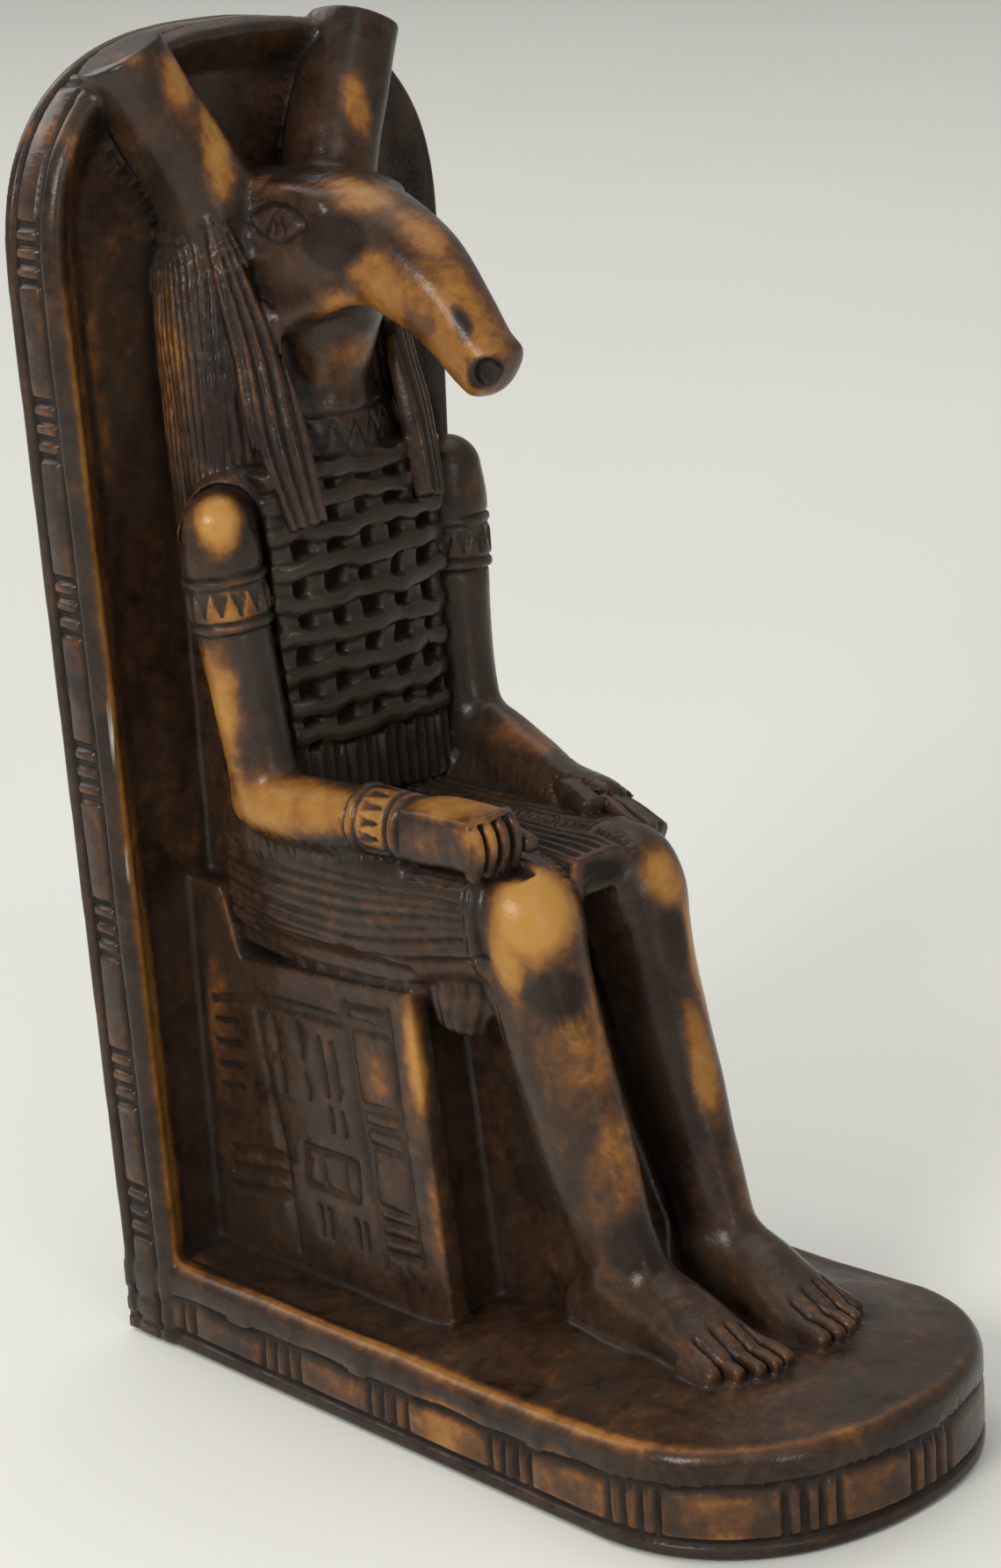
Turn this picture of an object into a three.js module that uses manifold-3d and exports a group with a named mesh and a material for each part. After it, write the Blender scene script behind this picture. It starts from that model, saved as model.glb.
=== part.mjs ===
// Seated Seth figure, cast in one with its throne, base plate and arched back slab.
// Millimetres, +Z up. The figure faces -Y and its right hand side is -X.
// The origin is on the floor, in the middle of the base.

import * as THREE from "three";
import { mergeVertices } from "three/addons/utils/BufferGeometryUtils.js";
import Module from "manifold-3d";

const wasm = await Module();
wasm.setup();

// Driving sizes
const DEPTH = 167;
const BASE_WIDTH = 83;
const SLAB_TOP = 248.4;
const SLAB_THICK = 14.2;
const BASE_TOP = 18.4;
const FLOOR_TOP = 20.6;

const BACK_Y = DEPTH / 2;
const FRONT_Y = -DEPTH / 2;
const SLAB_FRONT_Y = BACK_Y - SLAB_THICK;
const SLAB_FLARE = 0.00056;
const SLAB_ARCH_START = 205;
const SLAB_ARCH_POWER = 2.52;
const NICHE_DEPTH = 5.4;
const NICHE_Y = SLAB_FRONT_Y + NICHE_DEPTH;
const RIM_CREST = 2.3;
const BASE_NOSE = 36.7;
const BASE_NOSE_POWER = 2.18;

const EDGE_GROOVE = 0.9;
const BASE_STRIP = 2.6;
const BACK_STRIP = 2.2;
const BLOCK_GAP = 1.3;

const SEAT_Z = 79.5;
const THRONE_HALF = 24.5;
const THRONE_FRONT_TOP = 12.5;
const THRONE_FRONT_FOOT = 7.5;

const ARM_X = 27;
const ELBOW_X = 25.4;
const WRIST_X = 20.5;
const LEG_X = 12.6;
const FOOT_X = 12;
const TOE_Y = -58.8;

const V3 = (x, y, z) => new THREE.Vector3(x, y, z);

// Turns a closed geometry into a solid
function solid(geometry) {
  const bare = geometry.index ? geometry.clone() : geometry;
  bare.deleteAttribute("normal");
  bare.deleteAttribute("uv");
  const merged = mergeVertices(bare, 1e-4);
  return new wasm.Manifold(new wasm.Mesh({
    numProp: 3,
    vertProperties: new Float32Array(merged.attributes.position.array),
    triVerts: new Uint32Array(merged.index.array),
  }));
}

const union = (solids) => wasm.Manifold.union(solids);

function box(x0, x1, y0, y1, z0, z1) {
  const geometry = new THREE.BoxGeometry(x1 - x0, y1 - y0, z1 - z0);
  geometry.translate((x0 + x1) / 2, (y0 + y1) / 2, (z0 + z1) / 2);
  return solid(geometry);
}

function ball(x, y, z, rx, ry, rz, around = 10, down = 6) {
  const geometry = new THREE.SphereGeometry(1, around, down);
  geometry.scale(rx, ry, rz);
  geometry.translate(x, y, z);
  return solid(geometry);
}

// A rounded rod whose section changes along a smooth line.
// Each station is [x, y, z, half width, half thickness]; `side` is the section's width direction.
// `power` squares the section off, and `ribs` with `ribDepth` cuts length-wise furrows in it.
function limb(stations, side, options = {}) {
  const { around = 8, steps = stations.length - 1, power = 2, ribs = 0, ribDepth = 0 } = options;
  const line = new THREE.CatmullRomCurve3(stations.map((s) => V3(s[0], s[1], s[2])), false, "centripetal");
  const tube = new THREE.CylinderGeometry(1, 1, 1, around, steps);
  const place = tube.attributes.position;
  for (let i = 0; i < place.count; i += 1) {
    const t = Math.min(1, Math.max(0, 0.5 - place.getY(i)));
    const middle = line.getPoint(t);
    const along = line.getTangent(t);
    const thick = new THREE.Vector3().crossVectors(along, side).normalize();
    const wide = new THREE.Vector3().crossVectors(thick, along).normalize();
    const reach = Math.hypot(place.getX(i), place.getZ(i));
    const angle = Math.atan2(place.getZ(i), place.getX(i));
    const c = Math.cos(angle);
    const s = Math.sin(angle);
    const square = Math.pow(Math.pow(Math.abs(c), power) + Math.pow(Math.abs(s), power), -1 / power);
    const rib = 1 - ribDepth * (0.5 - 0.5 * Math.cos(ribs * angle));
    const at = t * (stations.length - 1);
    const low = Math.min(stations.length - 2, Math.floor(at));
    const mix = at - low;
    const halfWide = THREE.MathUtils.lerp(stations[low][3], stations[low + 1][3], mix);
    const halfThick = THREE.MathUtils.lerp(stations[low][4], stations[low + 1][4], mix);
    const point = middle
      .addScaledVector(wide, reach * c * square * rib * halfWide)
      .addScaledVector(thick, reach * s * square * rib * halfThick);
    place.setXYZ(i, point.x, point.y, point.z);
  }
  const made = solid(tube);
  return made.volume() < 0 ? solid(wound(tube.toNonIndexed())) : made;
}

// Extrudes a flat outline from one level to another; `upright` stands it in the XZ plane, with Y as
// its level. With `tip`, an outline of as many points, the end at level `to` has that outline.
function plate(points, from, to, upright = false, tip = null) {
  const geometry = new THREE.ExtrudeGeometry(new THREE.Shape(points), { depth: 1, bevelEnabled: false });
  const place = geometry.attributes.position;
  for (let i = 0; i < place.count; i += 1) {
    const far = place.getZ(i) > 0.5;
    let at = new THREE.Vector2(place.getX(i), place.getY(i));
    if (tip && far) {
      at = tip[points.findIndex((point) => point.distanceTo(at) < 1e-3)];
    }
    const level = far ? to : from;
    place.setXYZ(i, at.x, upright ? level : at.y, upright ? at.y : level);
  }
  const made = solid(geometry);
  return made.volume() < 0 ? solid(wound(geometry)) : made;
}

// The same triangles wound the other way round
function wound(geometry) {
  const place = geometry.attributes.position;
  for (let i = 0; i < place.count; i += 3) {
    const first = V3().fromBufferAttribute(place, i);
    place.setXYZ(i, place.getX(i + 1), place.getY(i + 1), place.getZ(i + 1));
    place.setXYZ(i + 1, first.x, first.y, first.z);
  }
  return geometry;
}

const power = (value, exponent) => Math.sign(value) * Math.pow(Math.abs(value), exponent);

// Half width of the slab at height z below its arch
const slabHalf = (z) => (BASE_WIDTH / 2) * (1 + SLAB_FLARE * z);

// Outline of the slab from its right foot over the arch to its left foot, moved in by `inset`
function slabOutline(inset, footZ = 0, archSteps = 12) {
  const points = [];
  const spring = slabHalf(SLAB_ARCH_START);
  const foot = slabHalf(footZ) - inset;
  points.push(new THREE.Vector2(-foot, footZ));
  for (let i = 0; i <= archSteps; i += 1) {
    const angle = (Math.PI * i) / archSteps;
    const x = -(spring - inset) * power(Math.cos(angle), 2 / SLAB_ARCH_POWER);
    const z = SLAB_ARCH_START + (SLAB_TOP - SLAB_ARCH_START - inset) * power(Math.sin(angle), 2 / SLAB_ARCH_POWER);
    points.push(new THREE.Vector2(x, z));
  }
  points.push(new THREE.Vector2(foot, footZ));
  return points;
}

// Outline of the base from its back right corner round the nose to its back left corner
function baseOutline(inset, noseSteps = 12) {
  const points = [];
  const half = BASE_WIDTH / 2 - inset;
  const noseY = FRONT_Y + BASE_NOSE;
  points.push(new THREE.Vector2(-half, BACK_Y));
  for (let i = 0; i <= noseSteps; i += 1) {
    const angle = (Math.PI * i) / noseSteps;
    const x = -half * power(Math.cos(angle), 2 / BASE_NOSE_POWER);
    const y = noseY - (BASE_NOSE - inset) * power(Math.sin(angle), 2 / BASE_NOSE_POWER);
    points.push(new THREE.Vector2(x, y));
  }
  points.push(new THREE.Vector2(half, BACK_Y));
  return points;
}

// Measures along an outline, so that blocks and bars can be set out by length
function ruler(points) {
  const lengths = [0];
  for (let i = 1; i < points.length; i += 1) {
    lengths.push(lengths[i - 1] + points[i].distanceTo(points[i - 1]));
  }
  const total = lengths[lengths.length - 1];
  const at = (distance) => {
    let i = 1;
    while (i < lengths.length - 1 && lengths[i] < distance) {
      i += 1;
    }
    const mix = (distance - lengths[i - 1]) / (lengths[i] - lengths[i - 1]);
    return points[i - 1].clone().lerp(points[i], mix);
  };
  const corners = (from, to) => lengths.filter((d) => d > from + 0.5 && d < to - 0.5);
  return { total, at, corners };
}

// An outline that steps in from `outer` to `inner` over each of the given lengths
function notched(outer, inner, lengths) {
  const outerRule = ruler(outer);
  const innerRule = ruler(inner);
  const share = innerRule.total / outerRule.total;
  const points = [outer[0]];
  let start = 0;
  for (const [from, to] of lengths) {
    points.push(...outerRule.corners(start, from).map(outerRule.at), outerRule.at(from));
    points.push(innerRule.at(from * share), innerRule.at(to * share), outerRule.at(to));
    start = to;
  }
  points.push(...outerRule.corners(start, outerRule.total).map(outerRule.at), outer[outer.length - 1]);
  return points;
}

// The gaps that leave raised blocks parted by groups of three short bars, as on the slab's and
// the base's edges. Past the middle, on the left side, a group is one plain wide bar.
function barGaps(groups, total) {
  const gap = 1.5;
  const pitch = 3.4;
  const gaps = [];
  for (const middle of groups) {
    const steps = middle > 0.55 * total ? [-1.3, 1.3] : [-1.5, -0.5, 0.5, 1.5];
    gaps.push(...steps.map((step) => [middle + step * pitch - gap / 2, middle + step * pitch + gap / 2]));
  }
  return gaps.filter(([from, to]) => from > 0.5 && to < total - 0.5);
}

// Bar groups are the same distance apart on both sides, counted from the foot
function mirroredGroups(total, firsts) {
  const far = firsts.map((d) => total - d).reverse();
  return [...firsts, ...far.filter((d) => d - firsts[firsts.length - 1] > 12)];
}

function makeSlab() {
  const outer = slabOutline(0);
  const core = slabOutline(EDGE_GROOVE);
  const total = ruler(outer).total;
  const chamferBack = SLAB_FRONT_Y + 2.4;
  const stripBack = SLAB_FRONT_Y + 3.6;
  const blockFront = stripBack + BLOCK_GAP;
  const blockBack = BACK_Y - BACK_STRIP - BLOCK_GAP;
  const groups = mirroredGroups(total, [26, 54, 84, 115, 147, 180, 212, 250]);
  const solids = [
    plate(core, SLAB_FRONT_Y + 1, BACK_Y, true),
    plate(outer, BACK_Y - BACK_STRIP, BACK_Y, true),
    plate(outer, stripBack, chamferBack, true),
    plate(outer, chamferBack, SLAB_FRONT_Y, true, slabOutline(RIM_CREST)),
    plate(notched(outer, core, barGaps(groups, total)), blockFront, blockBack, true),
  ];
  const nicheFoot = FLOOR_TOP - 4;
  const mouth = slabOutline(RIM_CREST + 1, nicheFoot);
  const niche = plate(mouth, SLAB_FRONT_Y - 2, NICHE_Y, true, slabOutline(RIM_CREST + 8, nicheFoot));
  return union(solids).subtract(niche);
}

function makeBase() {
  const outer = baseOutline(0);
  const core = baseOutline(EDGE_GROOVE);
  const total = ruler(outer).total;
  const chamferLow = BASE_TOP - 2.4;
  const stripLow = BASE_TOP - 3.8;
  const blockLow = BASE_STRIP + BLOCK_GAP;
  const blockHigh = stripLow - BLOCK_GAP;
  const groups = mirroredGroups(total, [15, 39, 68, 97, 126, 160, 190]);
  const solids = [
    plate(core, 0, BASE_TOP - 1),
    plate(outer, 0, BASE_STRIP),
    plate(outer, stripLow, chamferLow),
    plate(outer, chamferLow, BASE_TOP, false, baseOutline(RIM_CREST)),
    plate(notched(outer, core, barGaps(groups, total)), blockLow, blockHigh),
  ];
  const dome = plate(baseOutline(RIM_CREST + 2), BASE_TOP - 1, FLOOR_TOP, false, baseOutline(16));
  const wells = [-1, 1].map((side) => {
    const x = [side * (THRONE_HALF - 1), side * (BASE_WIDTH / 2 - 3.6)].sort((low, high) => low - high);
    return box(x[0], x[1], 6, SLAB_FRONT_Y + 1, BASE_TOP - 2.6, BASE_TOP + 3);
  });
  return union([...solids, dome]).subtract(union(wells));
}

function makeThrone() {
  const profile = [
    [NICHE_Y + 1, FLOOR_TOP - 6], [THRONE_FRONT_FOOT, FLOOR_TOP - 6], [THRONE_FRONT_TOP, SEAT_Z + 0.5],
    [60, SEAT_Z - 1.5], [65.5, 88.5], [NICHE_Y + 1, 90.5],
  ].map(([y, z]) => new THREE.Vector2(y, z));
  const geometry = new THREE.ExtrudeGeometry(new THREE.Shape(profile), {
    depth: 2 * THRONE_HALF, bevelEnabled: false,
  });
  geometry.applyMatrix4(new THREE.Matrix4().set(0, 0, 1, -THRONE_HALF, 1, 0, 0, 0, 0, 1, 0, 0, 0, 0, 0, 1));
  const block = solid(geometry);
  const recess = box(-THRONE_HALF + 5.5, THRONE_HALF - 5.5, -10, THRONE_FRONT_TOP + 2.5, FLOOR_TOP, SEAT_Z - 3);
  const cuts = [];
  for (const side of [-1, 1]) {
    const face = side * THRONE_HALF;
    const groove = (y0, y1, z0, z1) => {
      cuts.push(box(face - 0.7, face + 0.7, y0, y1, z0, z1));
    };
    // Frame lines of the side panel, three columns wide
    for (const y of [18, 27, 43, 58]) {
      groove(y, y + 0.8, 27, 71.5);
    }
    groove(18, 64, 69.6, 70.5);
    if (side > 0) {
      continue;
    }
    for (const z of [33, 36, 54, 57]) {
      groove(18.8, 27, z, z + 0.9);
      groove(43.8, 58, z - 2, z - 1.1);
    }
    for (const z of [40, 47]) {
      groove(31, 38.5, z, z + 0.9);
    }
    for (const y of [31, 37.6]) {
      groove(y, y + 0.9, 40, 47.9);
    }
    groove(34, 35.3, 53, 66);
  }
  const web = box(-LEG_X - 5.4, LEG_X + 5.4, -12, THRONE_FRONT_TOP + 4, FLOOR_TOP - 2, SEAT_Z - 4);
  const slope = box(-40, 40, -40, 0, -60, 60).rotate([-13, 0, 0]).translate([0, -10.5, FLOOR_TOP + 26]);
  return union([block.subtract(recess).subtract(union(cuts)), web.subtract(slope)]);
}

function makeTorso() {
  const across = V3(1, 0, 0);
  const trunk = limb([
    [0, 60, 99, 21.5, 14], [0, 60, 118, 20.5, 14.4], [0, 60, 160, 22.5, 15.8], [0, 61, 173, 16, 12],
  ], across, { around: 12, power: 3.2 });
  const shoulders = limb([
    [-29, 53, 160, 5, 5.5], [-23, 54.5, 163.5, 7.6, 8], [0, 59, 166, 11, 8], [23, 54.5, 163.5, 7.6, 8],
    [29, 53, 160, 5, 5.5],
  ], V3(0, 1, 0));
  const backing = box(-21, 21, 58, NICHE_Y + 1, SEAT_Z, 172);
  return [trunk, shoulders, backing];
}

// Basket weave over the chest: level bands above short upright bars, with dark holes between
function makeWeave() {
  const levels = [120.5, 126, 132.5, 139, 145.8, 152.4, 158.6, 164.2, 169];
  const half = 21;
  const bandHalf = 1.45;
  const holeHalf = 1.9;
  const holePitch = 7.4;
  const front = (x) => 42.4 + 3.2 * Math.pow(Math.abs(x) / half, 3);
  const layer = (xs, forward, low, high) => plate([
    ...xs.map((x, i) => new THREE.Vector2(x, front(x) + forward(i))),
    new THREE.Vector2(half, 54),
    new THREE.Vector2(-half, 54),
  ], low, high);
  const bandStops = [-1, -0.66, -0.25, 0.25, 0.66, 1].map((share) => share * half);
  const pieces = levels.map((z) => layer(bandStops, () => 0, z - bandHalf, z + bandHalf));
  for (let row = 0; row + 1 < levels.length; row += 1) {
    const reach = row > 5 ? 1 : 2;
    const stops = [-half];
    const depths = [1];
    for (let i = -reach; i <= reach; i += 1) {
      const x = holePitch * i;
      stops.push(x - holeHalf, x - holeHalf, x + holeHalf, x + holeHalf);
      depths.push(1, 3.4, 3.4, 1);
    }
    stops.push(half);
    depths.push(1);
    pieces.push(layer(stops, (i) => depths[i], levels[row] + bandHalf - 0.2, levels[row + 1] - bandHalf + 0.2));
  }
  for (let i = 0; i < 6; i += 1) {
    const x = -16.5 + 6.6 * i;
    pieces.push(box(x - 2.1, x + 2.1, 45.2, 49, 107, 116.5));
  }
  return pieces;
}

function makeNeckAndCollar() {
  const across = V3(1, 0, 0);
  const neck = limb([[0, 56, 166, 15, 14], [0, 52.5, 178, 10.6, 11], [0, 51, 188, 10, 10.4], [0, 51, 200, 10, 11]],
    across, { around: 12 });
  const collar = limb([[0, 55.4, 170.5, 15, 14.2], [0, 54.4, 176, 12.6, 12.8]], across, { around: 12 });
  return [neck, collar];
}

// Head with its long snout bent down, blunt at the tip
function makeHead() {
  const across = V3(1, 0, 0);
  const skull = limb([
    [0, 72, 208.6, 13, 13.4], [0, 60, 206.6, 14, 16], [0, 49, 207.2, 13.6, 15.6], [0, 38, 208.6, 11.8, 12.4],
    [0, 29.5, 207.8, 9.6, 9.6], [0, 21.5, 204.6, 8, 8.2], [0, 14.2, 200, 6.9, 7], [0, 9, 194.6, 6.1, 6.2],
    [0, 5.6, 189.8, 6, 6], [0, 4.6, 188, 4.8, 4.8],
  ], across, { around: 12, steps: 9, power: 2.3 });
  const nostril = ball(0, 3.6, 186.6, 3, 3, 3.4, 10, 6);
  const eyes = [-1, 1].map((side) => ball(side * 12, 46.4, 214.6, 1.8, 5.4, 2.6, 8, 4));
  const brows = [-1, 1].map((side) => limb([
    [side * 11.4, 54, 216.4, 1.2, 1], [side * 11.6, 47, 218.4, 1.6, 1.3], [side * 9.8, 39.5, 216.2, 1.2, 1],
  ], V3(side, 0, 0), { around: 6 }));
  return { solids: [skull, ...eyes, ...brows], cuts: [nostril] };
}

// Tall flat-topped ears, spread outwards and tipped back onto the slab
function makeEars() {
  return [-1, 1].map((side) => limb([
    [side * 11.5, 63, 209, 9.4, 8.8], [side * 15, 65, 220, 9.2, 8.4], [side * 21.6, 67.2, 233.2, 8.8, 8],
    [side * 27.4, 69, 245.2, 8.3, 7.6],
  ], V3(0, 1, 0), { around: 12 }));
}

// Striped head cloth: a wide fall behind the shoulders and two lappets on the chest
function makeWig() {
  const across = V3(1, 0, 0);
  const fall = limb([
    [0, 67, 220, 19, 10], [0, 65, 204, 24.5, 14.5], [0, 63.5, 184, 26, 14.5], [0, 62, 162, 26, 13.5],
  ], across, { around: 28, steps: 3, power: 2.6, ribs: 14, ribDepth: 0.05 });
  const lappets = [-1, 1].map((side) => limb([
    [side * 14, 60, 216, 4, 5], [side * 16.2, 56, 204, 5, 5], [side * 16.6, 51, 190, 5, 5],
    [side * 16, 47, 176, 5, 4.6], [side * 14.6, 43.2, 163, 5, 3.2],
  ], across, { around: 14, steps: 3, power: 3.4, ribs: 7, ribDepth: 0.07 }));
  return [fall, ...lappets];
}

// The right forearm lies a little higher than the left one, which rests in the lap
function makeArm(side) {
  const across = V3(1, 0, 0);
  const x = side * ARM_X;
  const elbowX = side * ELBOW_X;
  const wristX = side * WRIST_X;
  const elbowZ = side < 0 ? 110 : 111.6;
  const wristZ = side < 0 ? 110.6 : 105.4;
  const middleZ = (elbowZ + wristZ) / 2;
  const upper = limb([
    [x, 53, 165.5, 5.6, 5.6], [x, 52.4, 158, 7.3, 7.2], [x, 51, 145, 7, 7], [elbowX, 49, 128, 6.2, 6.6],
    [elbowX, 47, elbowZ + 4, 6.2, 6.8], [elbowX, 45, elbowZ, 5.4, 6],
  ], across);
  const fore = limb([
    [elbowX, 50, elbowZ + 1, 5.2, 5], [elbowX, 44, elbowZ + 0.4, 6.2, 6.4], [elbowX - side, 32, middleZ, 6.2, 6.4],
    [wristX + side * 1.5, 20, wristZ + 0.6, 5.6, 5.8], [wristX, 8, wristZ, 5.2, 5.2],
  ], across);
  const armband = limb([[x, 52, 152.8, 7.9, 7.8], [x, 51, 143.4, 7.7, 7.6]], across, { around: 12 });
  const cuff = limb([
    [wristX + side * 2, 22.5, wristZ + 0.6, 6.5, 6.6], [wristX + side * 0.4, 11, wristZ, 6, 6.3],
  ], across, { around: 12 });
  const rest = limb([[elbowX - side * 3, 52, 103.4, 5, 7], [wristX, 14, 101.4, 5, 5]], across);
  return [upper, fore, armband, cuff, rest];
}

// The right hand is a fist lying on the thigh
function makeFist() {
  const across = V3(1, 0, 0);
  const back = limb([
    [-20.5, 13, 110.8, 5.4, 5.4], [-19.6, 6, 111.4, 6.8, 6], [-18.8, -2, 111, 7, 6.4], [-18.4, -7, 110, 5.6, 5.6],
  ], across, { power: 2.5 });
  const fingers = [0, 1, 2, 3].map((i) => {
    const x = -23 + 3.3 * i;
    const tip = -9.2 - (i === 1 || i === 2 ? 1.1 : 0.4);
    return limb([[x, -4, 115, 1.7, 1.8], [x, tip, 113.4, 1.8, 2.1], [x, tip, 108.2, 1.8, 2.1], [x, -4, 105.4, 1.7, 1.7]],
      across, { around: 5 });
  });
  const thumb = limb([[-13.8, 3, 110.6, 2, 2], [-12.2, -3, 109.6, 2.1, 2.1], [-12.4, -9, 108.6, 1.7, 1.7]], across,
    { around: 6 });
  return [back, ...fingers, thumb];
}

// The left hand lies flat with its fingers towards the knee
function makeFlatHand() {
  const across = V3(1, 0, 0);
  const palm = limb([
    [20.6, 17, 106, 5.4, 4.6], [20.4, 10.5, 106.4, 7.1, 3.8], [20.2, 5, 106.2, 7.1, 3.2],
  ], across, { power: 2.6 });
  const fingers = [0, 1, 2, 3].map((i) => {
    const x = 14.8 + 3.5 * i;
    const reach = [-3.4, -5, -4.6, -2.4][i];
    return limb([[x, 7, 106.8, 1.8, 2.2], [x + 0.2, 0.5, 106.2, 1.8, 2], [x + 0.4, reach, 102.6, 1.5, 1.6]], across,
      { around: 6 });
  });
  const thumb = limb([[14.6, 13, 106.6, 2.2, 2.2], [12, 8, 106.6, 2, 2], [11, 3.6, 106, 1.6, 1.6]], across,
    { around: 6 });
  const thumbRoot = ball(13.6, 8, 105.4, 2.6, 4.4, 2, 6, 4);
  return [palm, ...fingers, thumb, thumbRoot];
}

// Pleated kilt over both thighs, with the stiff front piece between the knees
function makeKilt() {
  const across = V3(1, 0, 0);
  const thighs = [-1, 1].map((side) => limb([
    [side * 13.4, 60, 93, 14, 13.6], [side * 13.6, 40, 93, 14.4, 13.2], [side * 13.6, 20, 93.4, 13.8, 12.4],
    [side * 13.2, 4, 94.8, 12.4, 11.4], [side * 13, -3.5, 95.6, 11.2, 10.6],
  ], across, { around: 20, steps: 2, power: 2.7, ribs: 10, ribDepth: 0.04 }));
  const lap = box(-14, 14, 4, 62, 84, 104.6);
  const waist = limb([[0, 58, 103, 21.5, 13.6], [0, 58, 109, 20.4, 13]], across, { around: 14, steps: 1, power: 3 });
  const tab = limb([
    [0, 44, 104, 8, 2.8], [0, 24, 105, 8.8, 2.8], [0, 4, 104.8, 9.4, 2.8], [0, -9, 102.8, 9.6, 2.7],
    [0, -12.5, 102, 9.4, 2.6],
  ], across, { around: 12, steps: 3, power: 5, ribs: 6, ribDepth: 0.05 });
  const skirts = [-1, 1].map((side) => ball(side * 16.5, 6.5, 78.6, 4.6, 5, 7.4, 8, 5));
  return [...thighs, lap, waist, tab, ...skirts];
}

function makeLeg(side) {
  const across = V3(1, 0, 0);
  const x = side * LEG_X;
  const foot = side * FOOT_X;
  const knee = limb([
    [x, 4, 95.5, 9.4, 9.4], [x, -5, 96.4, 9.6, 9.8], [x, -10, 94, 9, 9.6], [x, -11, 86, 8.2, 9.4],
  ], across);
  const shin = limb([
    [x, -8.4, 99, 8.6, 8.2], [x, -8.8, 88, 8.2, 9.4], [x, -11.4, 74, 8, 10], [x, -16, 56, 7.4, 9.6],
    [foot, -24, 37, 6.4, 8.2], [foot, -27, 20, 6.8, 9],
  ], across);
  const instep = limb([
    [foot, -16, 24, 6, 5], [foot, -27, 28, 6.8, 8], [foot, -37, 26.4, 7.6, 6.4], [foot, -52, 22.6, 8.6, 3.4],
  ], across, { power: 2.3 });
  const toes = [0, 1, 2, 3, 4].map((i) => {
    const fromInside = -7.2 + 3.7 * i;
    const toeX = foot + side * (fromInside + (i === 0 ? 0.2 : 0.6));
    const radius = i === 0 ? 2.5 : 1.9;
    const reach = TOE_Y + [0, 0.2, 1, 2.4, 4.4][i];
    return limb([[toeX, -48, 23, radius, 2.2], [toeX, reach + 3.4, 22.2, radius, 2.2], [toeX, reach, 21.2, radius * 0.7, 1.4]],
      across, { around: 6 });
  });
  return [knee, shin, instep, ...toes];
}

// Joins everything into the one casting
function makeStatue() {
  const head = makeHead();
  const whole = union([
    makeSlab(), makeBase(), makeThrone(), ...makeTorso(), ...makeNeckAndCollar(), ...head.solids, ...makeEars(),
    ...makeWig(), ...makeWeave(), ...makeArm(-1), ...makeArm(1), ...makeFist(), ...makeFlatHand(), ...makeKilt(),
    ...makeLeg(-1), ...makeLeg(1),
  ]).subtract(union(head.cuts));
  const behind = box(-80, 80, BACK_Y, BACK_Y + 30, -20, 300);
  return whole.subtract(behind);
}

function toGeometry(manifold) {
  const mesh = manifold.getMesh();
  const geometry = new THREE.BufferGeometry();
  geometry.setAttribute("position", new THREE.BufferAttribute(new Float32Array(mesh.vertProperties), 3));
  geometry.setIndex(new THREE.BufferAttribute(new Uint32Array(mesh.triVerts), 1));
  geometry.computeVertexNormals();
  return geometry;
}

const darkWax = new THREE.MeshStandardMaterial({ color: 0x3a2a22, roughness: 0.42, metalness: 0 });
const statue = new THREE.Mesh(toGeometry(makeStatue()), darkWax);
statue.name = "seth_statue";

const group = new THREE.Group();
group.add(statue);

export default group;
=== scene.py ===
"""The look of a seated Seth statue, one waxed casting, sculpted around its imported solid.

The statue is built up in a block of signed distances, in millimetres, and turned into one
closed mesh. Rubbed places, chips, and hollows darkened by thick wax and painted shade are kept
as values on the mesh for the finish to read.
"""

import logging
import math
from collections.abc import Callable, Sequence
from dataclasses import dataclass, field
from enum import Enum

import bmesh
import bpy
import numpy as np
import openvdb
from mathutils import Matrix, Vector


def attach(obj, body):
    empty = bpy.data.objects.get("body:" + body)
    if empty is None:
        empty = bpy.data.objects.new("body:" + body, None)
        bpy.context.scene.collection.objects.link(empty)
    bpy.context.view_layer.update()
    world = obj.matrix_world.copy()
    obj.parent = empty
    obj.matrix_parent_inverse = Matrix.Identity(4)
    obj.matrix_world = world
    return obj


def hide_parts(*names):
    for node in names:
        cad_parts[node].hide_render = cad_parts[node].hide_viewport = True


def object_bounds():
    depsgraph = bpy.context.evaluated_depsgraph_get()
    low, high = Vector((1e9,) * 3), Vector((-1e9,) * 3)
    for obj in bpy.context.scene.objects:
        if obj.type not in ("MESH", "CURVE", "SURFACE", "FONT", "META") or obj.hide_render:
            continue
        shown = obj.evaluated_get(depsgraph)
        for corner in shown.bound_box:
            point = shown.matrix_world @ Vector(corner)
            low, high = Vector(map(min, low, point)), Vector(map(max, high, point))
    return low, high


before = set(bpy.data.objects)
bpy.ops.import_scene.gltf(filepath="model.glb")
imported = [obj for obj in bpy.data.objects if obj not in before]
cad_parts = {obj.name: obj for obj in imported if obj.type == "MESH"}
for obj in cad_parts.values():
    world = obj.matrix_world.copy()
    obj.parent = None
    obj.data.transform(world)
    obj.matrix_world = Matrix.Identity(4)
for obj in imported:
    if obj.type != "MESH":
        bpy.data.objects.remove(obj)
CAD_LOW, CAD_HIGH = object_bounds()

log = logging.getLogger("seth_statue")

Array = np.ndarray
Point = tuple[float, float, float]
Relief = Callable[[Array, Array, Array], Array]
Rows = Sequence[Sequence[float]]
Socket = bpy.types.NodeSocket

MM = 0.001
NODE = "seth_statue"
BACK_Y = CAD_HIGH.y / MM
FRONT_Y = CAD_LOW.y / MM
FAR = 6.0
TINY = 1e-6
TAU = 2.0 * math.pi
SIDES = (-1, 1)


class Fineness(Enum):
    """Cell size of the sculpting block in millimetres, and the faces that are kept."""

    TRIAL = (0.62, 150_000)
    FINAL = (0.46, 192_000)


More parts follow.
